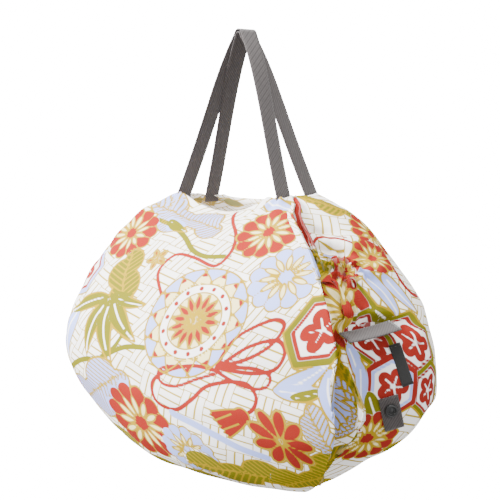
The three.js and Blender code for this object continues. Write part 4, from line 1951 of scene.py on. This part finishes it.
    @staticmethod
    def _store(mesh: bpy.types.Mesh, corners: np.ndarray) -> None:
        """Keep the print values on the mesh's corners.

        Args:
            mesh: Mesh of the cloth.
            corners: Print values, one row a corner.
        """
        layout = mesh.uv_layers.new(name="cloth")
        layout.data.foreach_set("uv", corners[:, :2].astype(np.float32).ravel())
        for name, start in PRINT_BLOCKS.items():
            layer = mesh.attributes.new(name, "FLOAT_VECTOR", "CORNER")
            block = np.ascontiguousarray(corners[:, start:start + 3], dtype=np.float32)
            layer.data.foreach_set("vector", block.ravel())


@dataclass
class Band:
    """A flat woven band swept along a path, with softly rounded edges."""

    name: str
    node: str
    slot: str
    width: float
    thickness: float
    bevel: float = 0.45
    edge: float = 0.1

    def build(self, centres: np.ndarray, across: np.ndarray, up: np.ndarray,
              material: bpy.types.Material) -> bpy.types.Object:
        """Make the piece.

        Args:
            centres: Middle of the band at each station, in millimetres.
            across: Direction of its width at each station.
            up: Direction of its thickness at each station.
            material: Woven material.

        Returns:
            The band.
        """
        half, deep = self.width / 2, self.thickness / 2
        right = [(half - self.bevel, -deep), (half - self.edge, -deep * 0.6), (half, 0.0),
                 (half - self.edge, deep * 0.6), (half - self.bevel, deep)]
        right += [(half * share, deep) for share in (0.6, 0.2, -0.2, -0.6)]
        profile = np.array(right + [(-x, -y) for x, y in right])
        sides = len(profile)
        points = (
            centres[:, None] + across[:, None] * profile[None, :, :1]
            + up[:, None] * profile[None, :, 1:]
        )
        count = len(centres)
        faces, places = [], []
        lengths = np.linalg.norm(np.diff(centres, axis=0), axis=1)
        along = np.concatenate([[0], np.cumsum(lengths)])
        for i in range(count - 1):
            for j in range(sides):
                k = (j + 1) % sides
                here, there = i * sides, (i + 1) * sides
                faces.append([here + j, here + k, there + k, there + j])
                places += [(profile[j, 0], along[i]), (profile[k, 0], along[i]),
                           (profile[k, 0], along[i + 1]), (profile[j, 0], along[i + 1])]
        for i, ring in ((0, range(sides)[::-1]), (count - 1, range(sides))):
            faces.append([i * sides + j for j in ring])
            places += [(profile[j, 0], along[i] + profile[j, 1]) for j in ring]
        piece = new_mesh(self.name, points.reshape(-1, 3), faces, self.node)
        layout = piece.data.uv_layers.new(name="cloth")
        layout.data.foreach_set("uv", (np.array(places) * MM).astype(np.float32).ravel())
        piece.data.materials.append(material)
        face_outwards(piece.data)
        return piece


def stitch_row(centres: np.ndarray, across: np.ndarray, up: np.ndarray, width: float,
               rise: float, inset: float) -> np.ndarray:
    """A row of stitches across a band near one of its ends.

    Args:
        centres: Middle of the band at each station.
        across: Direction of its width at each station.
        up: Direction of its thickness at each station.
        width: Length of the row.
        rise: Height of the row over the band's middle.
        inset: Distance from the band's start, or from its end where it is negative.

    Returns:
        Points of the row.
    """
    along = np.concatenate([[0], np.cumsum(np.linalg.norm(np.diff(centres, axis=0), axis=1))])
    want = inset if inset >= 0 else along[-1] + inset
    spot = np.array([np.interp(want, along, centres[:, axis]) for axis in range(3)])
    nearest = int(np.abs(along - want).argmin())
    shares = np.linspace(-0.5, 0.5, 9)[:, None]
    return spot + across[nearest] * width * shares + up[nearest] * rise


@dataclass
class Handles:
    """Two webbing handles that rise taut from the hem's ends to one crown."""

    form: BagForm
    width: float = 19.2
    thickness: float = 1.3
    foot_y: float = 20.0
    crown_radius: float = 4.5
    crown_step: float = 2.9
    crown_turn: float = 77.0
    foot_inset: float = 1.6
    back_inset: float = 0.2
    support_gap: float = 0.1
    foot_rise: float = 1.5
    tuck_in: float = 9.0
    tuck_turn: float = 0.5
    bow: float = 3.2
    bow_up: float = 0.45
    bow_power: float = 0.55
    turn_reach: float = 0.6

    def build(self, material: bpy.types.Material) -> list[bpy.types.Object]:
        """Make both handles.

        Args:
            material: Webbing.

        Returns:
            The front handle and the back handle.
        """
        inner = self.crown_radius + self.thickness / 2 + self.support_gap
        foot_x = self.form.hem_half_length - self.foot_inset
        front = self._handle("handle_front_band", "handle_front", -1, inner + self.crown_step,
                             foot_x, material)
        back = self._handle("handle_back_band", "handle_back", 1, inner,
                            foot_x - self.back_inset, material)
        return [front, back]

    def _leg(self, end: int, side: int, radius: float, foot_x: float) -> np.ndarray:
        """Centres of one leg, from beside the crown's top down into the hem.

        Args:
            end: 1 for the right leg, -1 for the left.
            side: 1 for the back handle, -1 for the front.
            radius: Radius of the webbing's middle at the crown.
            foot_x: Reach of the foot along the bag.

        Returns:
            Points in millimetres.
        """
        turn = math.radians(self.crown_turn)
        along = np.array([math.sin(turn), -math.cos(turn), 0.0])
        middle = np.array([0.0, 0.0, -self.crown_radius])
        foot = np.array([end * foot_x, side * self.foot_y, self.form.hem_z + self.foot_rise])
        lean = math.atan2(middle[2] - foot[2], end * float(foot @ along))
        turns = np.linspace(0, lean, 10)[1:, None]
        upwards = np.array([0.0, 0.0, 1.0])
        arc = middle + radius * (end * np.sin(turns) * along + np.cos(turns) * upwards)
        shares = np.linspace(0, 1, 30)[1:, None]
        leg = mix(arc[-1], foot, shares)
        outward = np.array([end, 0.0, self.bow_up])
        leg = leg + outward * self.bow * np.sin(math.pi * shares**self.bow_power) ** 2
        direction = unit(unit(leg[-1] - leg[-2]) * self.tuck_turn - upwards)
        sunk = leg[-1] + direction * np.linspace(0, self.tuck_in, 5)[1:, None]
        return np.concatenate([arc, leg, sunk])

    def _handle(self, name: str, node: str, side: int, radius: float, foot_x: float,
                material: bpy.types.Material) -> bpy.types.Object:
        """Make one handle as a single band from foot to foot.

        Args:
            name: Name of the piece.
            node: Node that it replaces.
            side: 1 for the back handle, -1 for the front.
            radius: Radius of the webbing's middle at the crown.
            foot_x: Reach of its feet along the bag.
            material: Webbing.

        Returns:
            The handle.
        """
        right = self._leg(1, side, radius, foot_x)
        left = self._leg(-1, side, radius, foot_x)
        crown = np.array([[0.0, 0.0, radius - self.crown_radius]])
        centres = np.concatenate([left[::-1], crown, right])
        tangent = unit(np.gradient(centres, axis=0))
        steps = np.linalg.norm(np.diff(centres, axis=0), axis=1)
        along = np.concatenate([[0], np.cumsum(steps)])
        away = np.abs(along / along[-1] * 2 - 1)
        turn = mix(math.radians(self.crown_turn), math.pi / 2, ease(away / self.turn_reach))
        wanted = np.stack([np.cos(turn), np.sin(turn), 0 * turn], axis=-1)
        across = square_to(wanted, tangent)
        up = np.cross(across, tangent)
        band = Band(name, node, "webbing", self.width, self.thickness)
        return band.build(centres, across, up, material)


@dataclass
class PullTapes:
    """The tape across the crease of each end."""

    form: BagForm
    width: float = 19.0
    thickness: float = 1.3
    crease_drop: float = 116.0
    front: tuple[float, float, float] = (2.5, -50.0, -3.5)
    back: tuple[float, float, float] = (14.0, 6.0, 4.0)
    slope: tuple[float, float, float] = (17.0, 2.5, -5.0)
    sag: float = 1.2
    samples: int = 17
    stitch_inset: float = 3.0
    stitch_margin: float = 2.0
    rows: list[np.ndarray] = field(default_factory=list)

    def build(self, material: bpy.types.Material) -> list[bpy.types.Object]:
        """Make both tapes.

        Args:
            material: Webbing.

        Returns:
            The right tape and the left tape.
        """
        row = next(r for r in SECTION_ROWS if r[0] == self.crease_drop)
        crease = dict(zip(SECTION_COLUMNS, row))
        z = self.form.hem_z - self.crease_drop
        start = np.array([crease["flap"] + self.front[0], self.front[1], z + self.front[2]])
        stop = np.array([crease["cheek"] + self.back[0], self.back[1], z + self.back[2]])
        along = unit(stop - start)
        slope = np.array(self.slope)
        across = unit(slope - along * float(slope @ along))
        shares = np.linspace(0, 1, self.samples)[:, None]
        edge = mix(start, stop, shares)
        edge[:, 2:] -= self.sag * np.sin(math.pi * shares)
        pieces = []
        for name, node, end in (
            ("pull_tape_right_band", "pull_tape_right", 1),
            ("pull_tape_left_band", "pull_tape_left", -1),
        ):
            centres = edge.copy()
            if end < 0:
                centres[:, 0] += self.form.left_extra(centres[:, 1], crease)
            centres = centres + across * self.width / 2
            width_way = np.tile(across, (len(centres), 1))
            if end < 0:
                centres[:, 0] *= -1
                width_way[:, 0] *= -1
            tangent = unit(np.gradient(centres, axis=0))
            width_way = square_to(width_way, tangent)
            up = np.cross(width_way, tangent)
            band = Band(name, node, "webbing", self.width, self.thickness)
            pieces.append(band.build(centres, width_way, up, material))
            rise = end * (self.thickness / 2 + STITCH_RISE)
            length = self.width - 2 * self.stitch_margin
            for inset in (self.stitch_inset, -self.stitch_inset):
                self.rows.append(stitch_row(centres, width_way, up, length, rise, inset))
        return pieces


# Radius and height of the snap's outline, from the middle of its face to the middle of its
# underside, and the gap between it and its tab, in millimetres.
SNAP_PROFILE = (
    (0.0, 1.5), (1.3, 1.45), (1.9, 1.2), (2.2, 0.75), (3.3, 0.7), (3.7, 1.1), (4.1, 2.3),
    (4.7, 2.7), (5.4, 2.6), (6.0, 2.1), (6.4, 1.2), (6.5, 0.4), (6.4, 0.0), (0.0, 0.0),
)
SNAP_GAP = 0.1


@dataclass
class EndTrim:
    """The snap tab with its snap and the bare label strip on the right end."""

    cloth: BagCloth
    tab_size: tuple[float, float] = (33.0, 19.0)
    tab_place: tuple[float, float, float] = (0.585, -6.0, 15.0)
    label_size: tuple[float, float] = (40.0, 12.0)
    label_place: tuple[float, float, float] = (0.475, 3.0, 14.0)
    tab_thickness: float = 1.2
    label_thickness: float = 0.9
    lift: float = 0.35
    probe_level: float = 0.02
    probe_depth: float = 10.0
    follow: float = 0.15
    follow_limit: float = 3.0
    samples: int = 13
    stitch_inset: float = 2.5
    stitch_margin: float = 1.5
    snap_rise: float = 3.0
    snap_steps: int = 48
    rows: list[np.ndarray] = field(default_factory=list)

    def build(self, webbing: bpy.types.Material, label: bpy.types.Material,
              plastic: bpy.types.Material) -> list[bpy.types.Object]:
        """Make the tab, the label strip and the snap.

        Args:
            webbing: Material of the tab.
            label: Material of the strip.
            plastic: Material of the snap.

        Returns:
            The pieces.
        """
        tab, frame = self._strip("snap_tab_band", "snap_tab", "webbing", self.tab_size,
                                 self.tab_place, self.tab_thickness, webbing)
        strip, _ = self._strip("label_strip_band", "label_strip", "label_cloth",
                               self.label_size, self.label_place, self.label_thickness, label)
        snap = self._snap(frame, plastic)
        return [tab, strip, snap]

    def _on_cloth(self, level: np.ndarray, y: np.ndarray) -> tuple[np.ndarray, np.ndarray]:
        """Places and outward directions on the right end's outer skin.

        Args:
            level: Shares of the height.
            y: Depths in millimetres.

        Returns:
            Points and directions.
        """
        form = self.cloth.form
        first, last = form.mark["flap"], form.mark["corner"]
        places, ways = [], []
        for one_level, one_y in zip(level, y):
            row = form.row_at(one_level)
            i = int(row)
            blend = row - i
            line = mix(self.cloth.outer[i], self.cloth.outer[i + 1], blend)[first:last]
            ways_here = mix(self.cloth.outer_normals[i], self.cloth.outer_normals[i + 1], blend)
            under = form.mark["under"] - first
            depth = np.maximum.accumulate(line[:, 1])
            j = int(np.clip(np.searchsorted(depth, one_y), under, len(line) - 1))
            span = max(line[j, 1] - line[j - 1, 1], 1e-6)
            share = float(np.clip((one_y - line[j - 1, 1]) / span, 0, 1))
            places.append(mix(line[j - 1], line[j], share))
            ways.append(ways_here[first:last][j])
        return np.array(places), unit(np.array(ways))

    def _strip(self, name: str, node: str, slot: str, size: tuple[float, float],
               place: tuple[float, float, float], thickness: float,
               material: bpy.types.Material) -> tuple[bpy.types.Object, tuple]:
        """Make one strip that follows the cloth softly.

        Args:
            name: Name of the piece.
            node: Node that it replaces.
            slot: Material slot.
            size: Length and width.
            place: Level, depth and lean in degrees.
            thickness: Thickness of the strip.
            material: Its material.

        Returns:
            The piece, and its middle with its outward and downward directions.
        """
        level, y, lean = place
        reach = self.probe_depth
        samples = level + np.array([-1.0, 1.0, 0.0, 0.0, 0.0]) * self.probe_level
        depths = np.array([y, y, y - reach, y + reach, y])
        spots, _ = self._on_cloth(samples, depths)
        out = unit(np.cross(spots[3] - spots[2], spots[1] - spots[0]))
        out = out if out[0] > 0 else -out
        down = unit(np.array([0, 0, -1.0]) + out * out[2])
        angle = math.radians(lean)
        side = np.cross(out, down)
        down = unit(down * math.cos(angle) + side * math.sin(angle))
        side = unit(np.cross(out, down))
        shares = np.linspace(-0.5, 0.5, self.samples)
        middle = spots[4] + out * (self.lift + thickness / 2)
        centres = middle + down * (shares * size[0])[:, None]
        levels = level - (centres[:, 2] - middle[2]) / self.cloth.form.table.length
        levels = np.clip(levels, self.probe_level, 1 - self.probe_level)
        on_cloth, _ = self._on_cloth(levels, centres[:, 1])
        gap = ((centres - on_cloth) @ out) - (self.lift + thickness / 2)
        level_gap = np.polyval(np.polyfit(shares, gap, 1), shares)
        limit = self.follow_limit
        follow = level_gap + self.follow * np.clip(gap - level_gap, -limit, limit)
        centres -= out * follow[:, None]
        tangent = unit(np.gradient(centres, axis=0))
        across = np.tile(side, (len(centres), 1))
        up = unit(np.cross(across, tangent))
        band = Band(name, node, slot, size[1], thickness)
        piece = band.build(centres, across, up, material)
        rise = -thickness / 2 - STITCH_RISE
        length = size[1] - 2 * self.stitch_margin
        self.rows.append(stitch_row(centres, across, up, length, rise, self.stitch_inset))
        half = self.samples // 2
        return piece, (centres[half], out, unit(tangent[half]), thickness)

    def _snap(self, frame: tuple, material: bpy.types.Material) -> bpy.types.Object:
        """Turn the snap's profile around its axis.

        Args:
            frame: The tab's middle, outward and downward directions and thickness.
            material: Plastic.

        Returns:
            The snap.
        """
        middle, out, down, thickness = frame
        side = np.cross(out, down)
        base = middle + out * (thickness / 2 + SNAP_GAP) - down * self.snap_rise
        steps = self.snap_steps
        points = [base + out * SNAP_PROFILE[0][1]]
        for radius, height in SNAP_PROFILE[1:-1]:
            for i in range(steps):
                angle = 2 * math.pi * i / steps
                spoke = down * math.cos(angle) + side * math.sin(angle)
                points.append(base + spoke * radius + out * height)
        points.append(base)
        faces = []
        rings = len(SNAP_PROFILE) - 2
        last = 1 + rings * steps
        for i in range(steps):
            k = (i + 1) % steps
            faces.append([0, 1 + i, 1 + k])
            for ring in range(rings - 1):
                a, b = 1 + ring * steps, 1 + (ring + 1) * steps
                faces.append([a + i, b + i, b + k, a + k])
            a = 1 + (rings - 1) * steps
            faces.append([a + i, last, a + k])
        piece = new_mesh("snap_disc", np.array(points), faces, "snap_button")
        face_outwards(piece.data)
        piece.data.materials.append(material)
        return piece


@dataclass
class Stitching:
    """Rows of stitches laid along paths by a node tree."""

    name: str
    length: float = 2.4
    gap: float = 0.9
    radius: float = 0.28

    def build(self, paths: list[np.ndarray], slot: str,
              material: bpy.types.Material) -> bpy.types.Object:
        """Make every stitch of the rows as one mesh.

        Args:
            paths: Lines of points in millimetres, one a row of stitches.
            slot: Not used.
            material: Thread.

        Returns:
            The stitches.
        """
        points, edges = [], []
        for path in paths:
            first = len(points)
            points.extend((path * MM).tolist())
            edges.extend((first + i, first + i + 1) for i in range(len(path) - 1))
        guide_mesh = bpy.data.meshes.new(f"{self.name}_guide")
        guide_mesh.from_pydata(points, edges, [])
        guide = bpy.data.objects.new(f"{self.name}_guide", guide_mesh)
        bpy.context.scene.collection.objects.link(guide)
        tree = self._tree(material)
        modifier = guide.modifiers.new("stitches", "NODES")
        modifier.node_group = tree
        values = {"Length": self.length, "Gap": self.gap, "Radius": self.radius}
        for item in tree.interface.items_tree:
            if item.in_out == "INPUT" and item.name in values:
                modifier[item.identifier] = values[item.name] * MM
        shown = guide.evaluated_get(bpy.context.evaluated_depsgraph_get())
        mesh = bpy.data.meshes.new_from_object(shown)
        mesh.name = self.name
        bpy.data.objects.remove(guide)
        piece = bpy.data.objects.new(self.name, mesh)
        bpy.context.scene.collection.objects.link(piece)
        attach(piece, BODY)
        LOG.info("%s: %d faces in %d rows", self.name, len(mesh.polygons), len(paths))
        return piece

    def _tree(self, material: bpy.types.Material) -> bpy.types.NodeTree:
        """Build the node tree that lays stitches along its curves.

        Args:
            material: Thread.

        Returns:
            The tree.
        """
        tree = bpy.data.node_groups.new(f"{self.name}_rows", "GeometryNodeTree")
        face = tree.interface
        face.new_socket("Geometry", in_out="INPUT", socket_type="NodeSocketGeometry")
        for label in ("Length", "Gap", "Radius"):
            face.new_socket(label, in_out="INPUT", socket_type="NodeSocketFloat")
        face.new_socket("Geometry", in_out="OUTPUT", socket_type="NodeSocketGeometry")
        make = tree.nodes.new
        ins, outs = make("NodeGroupInput"), make("NodeGroupOutput")
        curve = make("GeometryNodeMeshToCurve")
        spots = make("GeometryNodeCurveToPoints")
        spots.mode = "LENGTH"
        pitch = make("ShaderNodeMath")
        pitch.operation = "ADD"
        ball = make("GeometryNodeMeshUVSphere")
        ball.inputs["Segments"].default_value = 6
        ball.inputs["Rings"].default_value = 5
        ball.inputs["Radius"].default_value = 1.0
        half = make("ShaderNodeMath")
        half.operation = "MULTIPLY"
        half.inputs[1].default_value = 0.5
        size = make("ShaderNodeCombineXYZ")
        turn = make("FunctionNodeAlignRotationToVector")
        turn.axis = "Z"
        place = make("GeometryNodeInstanceOnPoints")
        real = make("GeometryNodeRealizeInstances")
        smooth = make("GeometryNodeSetShadeSmooth")
        dress = make("GeometryNodeSetMaterial")
        dress.inputs["Material"].default_value = material
        for source, output, target, entry in (
            (ins, "Geometry", curve, "Mesh"), (curve, "Curve", spots, "Curve"),
            (ins, "Length", pitch, 0), (ins, "Gap", pitch, 1), (pitch, 0, spots, "Length"),
            (ins, "Length", half, 0), (ins, "Radius", size, "X"), (ins, "Radius", size, "Y"),
            (half, 0, size, "Z"), (spots, "Points", place, "Points"),
            (spots, "Tangent", turn, "Vector"), (ball, "Mesh", place, "Instance"),
            (turn, "Rotation", place, "Rotation"), (size, 0, place, "Scale"),
            (place, "Instances", real, "Geometry"), (real, "Geometry", smooth, "Geometry"),
            (smooth, "Geometry", dress, "Geometry"), (dress, "Geometry", outs, "Geometry"),
        ):
            tree.links.new(source.outputs[output], target.inputs[entry])
        return tree


@dataclass(frozen=True)
class Lamp:
    """A soft area light that faces the bag, placed in metres as the camera sees it."""

    name: str
    towards: float
    right: float
    up: float
    size: float
    power: float


LAMPS = (
    Lamp("key", 0.85, -1.65, 0.65, 1.0, 202.0),
    Lamp("fill", 1.6, 1.3, -0.05, 1.4, 17.0),
    Lamp("top", 0.1338, -0.1486, 1.45, 1.2, 60.0),
)


@dataclass
class Studio:
    """White screen, soft lights and the camera at the photograph's angle."""

    azimuth: float = 48.0
    pitch: float = 4.2
    distance: float = 1.150
    eye_height: float = -0.142
    sideways: float = 0.00474
    focal_pixels: float = 1092.0
    frame_pixels: float = 500.0
    sensor: float = 36.0
    aim_height: float = -0.25
    surround: float = 1.1
    glow: float = 0.75
    glow_place: tuple[float, float, float] = (0.0, -0.02, -0.27)
    backdrop_reach: float = 2.2
    backdrop_height: float = -0.45
    backdrop_half: float = 1.1
    backdrop_glow: float = 17.0

    def build(self) -> None:
        """Make the screen, the lights, the world and the camera."""
        azimuth = math.radians(self.azimuth)
        towards = Vector((math.sin(azimuth), -math.cos(azimuth), 0))
        right = Vector((math.cos(azimuth), math.sin(azimuth), 0))
        self._backdrop(towards, right)
        self._world()
        for lamp in LAMPS:
            self._light(lamp, towards, right)
        self._glow()
        self._camera(towards, right)

    def _camera(self, towards: Vector, right: Vector) -> None:
        """Place the camera where the photograph was taken.

        Args:
            towards: Level direction from the bag to the camera.
            right: Direction to the camera's right.
        """
        data = bpy.data.cameras.new("camera")
        data.sensor_width = self.sensor
        data.lens = self.sensor * self.focal_pixels / self.frame_pixels
        camera = bpy.data.objects.new("camera", data)
        bpy.context.scene.collection.objects.link(camera)
        pitch = math.radians(self.pitch)
        camera.location = towards * self.distance + right * self.sideways
        camera.location.z = self.eye_height
        view = -(towards * math.cos(pitch) + Vector((0, 0, math.sin(pitch))))
        camera.rotation_euler = view.to_track_quat("-Z", "Y").to_euler()
        bpy.context.scene.camera = camera

    def _light(self, lamp: Lamp, towards: Vector, right: Vector) -> None:
        """Add one soft area light.

        Args:
            lamp: Its place, size and power.
            towards: Level direction from the bag to the camera.
            right: Direction to the camera's right.
        """
        data = bpy.data.lights.new(lamp.name, "AREA")
        data.shape = "DISK"
        data.size = lamp.size
        data.energy = lamp.power
        light = bpy.data.objects.new(lamp.name, data)
        light.location = towards * lamp.towards + right * lamp.right + Vector((0, 0, lamp.up))
        aim = Vector((0, 0, self.aim_height)) - light.location
        light.rotation_euler = aim.to_track_quat("-Z", "Y").to_euler()
        bpy.context.scene.collection.objects.link(light)

    def _glow(self) -> None:
        """Light inside the bag, as thin cloth lets in."""
        data = bpy.data.lights.new("glow", "POINT")
        data.energy = self.glow
        data.shadow_soft_size = 0.03
        light = bpy.data.objects.new("glow", data)
        light.location = self.glow_place
        light.visible_camera = False
        bpy.context.scene.collection.objects.link(light)

    def _world(self) -> None:
        """Even white surroundings."""
        world = bpy.data.worlds.new("surroundings")
        world.use_nodes = True
        background = world.node_tree.nodes["Background"]
        background.inputs["Color"].default_value = (1.0, 1.0, 1.0, 1.0)
        background.inputs["Strength"].default_value = self.surround
        bpy.context.scene.world = world

    def _backdrop(self, towards: Vector, right: Vector) -> None:
        """A glowing white screen behind the bag, square to the camera.

        Args:
            towards: Level direction from the bag to the camera.
            right: Direction to the camera's right.
        """
        middle = Vector((0, 0, self.backdrop_height)) - towards * self.backdrop_reach
        half = self.backdrop_half
        points = [
            middle + right * (x * half) + Vector((0, 0, z * half))
            for x, z in ((-1, -1), (1, -1), (1, 1), (-1, 1))
        ]
        mesh = bpy.data.meshes.new("backdrop")
        mesh.from_pydata(points, [], [(0, 1, 2, 3)])
        material = bpy.data.materials.new("white_screen")
        material.use_nodes = True
        shader = material.node_tree.nodes["Principled BSDF"]
        shader.inputs["Base Color"].default_value = (0.9, 0.9, 0.9, 1.0)
        shader.inputs["Roughness"].default_value = 0.9
        shader.inputs["Emission Color"].default_value = (1.0, 1.0, 1.0, 1.0)
        shader.inputs["Emission Strength"].default_value = self.backdrop_glow
        mesh.materials.append(material)
        screen = bpy.data.objects.new("backdrop", mesh)
        bpy.context.scene.collection.objects.link(screen)


@dataclass
class ShoppingBag:
    """The whole bag, built piece by piece."""

    form: BagForm = field(default_factory=BagForm)
    stitch_lift: float = 0.05

    def build(self) -> None:
        """Make and dress every piece."""
        shading = Shading()
        cloth_material = ClothFinish().build(shading)
        webbing = WovenFinish(
            "grey_webbing", (0.056, 0.048, 0.047), (0.016, 0.0135, 0.013), 6.0, 0.9,
            contrast=0.8, twill=1.0,
        ).build(shading)
        label = WovenFinish(
            "black_label", (0.006, 0.0055, 0.005), (0.003, 0.003, 0.003), 0.7, 0.0,
            relief=0.3, roughness=0.6,
        ).build(shading)
        thread = WovenFinish(
            "pale_thread", (0.72, 0.66, 0.56), (0.5, 0.45, 0.38), 0.5, 0.8, relief=0.2,
        ).build(shading)
        grey_thread = WovenFinish(
            "grey_thread", (0.07, 0.062, 0.06), (0.03, 0.026, 0.025), 0.5, 0.8, relief=0.2,
        ).build(shading)
        plastic = SnapFinish().build(shading)
        cloth = BagCloth(self.form)
        Handles(self.form).build(webbing)
        cloth.build(cloth_material)
        tapes, trim = PullTapes(self.form), EndTrim(cloth)
        tapes.build(webbing)
        trim.build(webbing, label, plastic)
        self._hem_stitches(cloth, thread)
        Stitching("trim_stitches").build(tapes.rows + trim.rows, "webbing", grey_thread)

    def _hem_stitches(self, cloth: BagCloth, thread: bpy.types.Material) -> None:
        """The row of stitches that holds the hem.

        Args:
            cloth: The built cloth.
            thread: Thread material.
        """
        form = self.form
        row = form.row_at(form.hem_stitch / form.table.length)
        i = int(row)
        line = mix(cloth.outer[i], cloth.outer[i + 1], row - i)
        ways = mix(cloth.outer_normals[i], cloth.outer_normals[i + 1], row - i)
        line = line + ways * self.stitch_lift
        front = line[form.mark["left_ridge"] + 2:form.mark["ridge"] - 1]
        back = line[form.mark["corner"]:form.mark["left_corner"]]
        Stitching("hem_stitches").build([front, back], "printed_cloth", thread)


def main() -> None:
    """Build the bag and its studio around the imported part."""
    logging.basicConfig(level=logging.INFO, format="%(name)s: %(message)s")
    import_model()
    ShoppingBag().build()
    Studio().build()


if __name__ == "__main__":
    main()
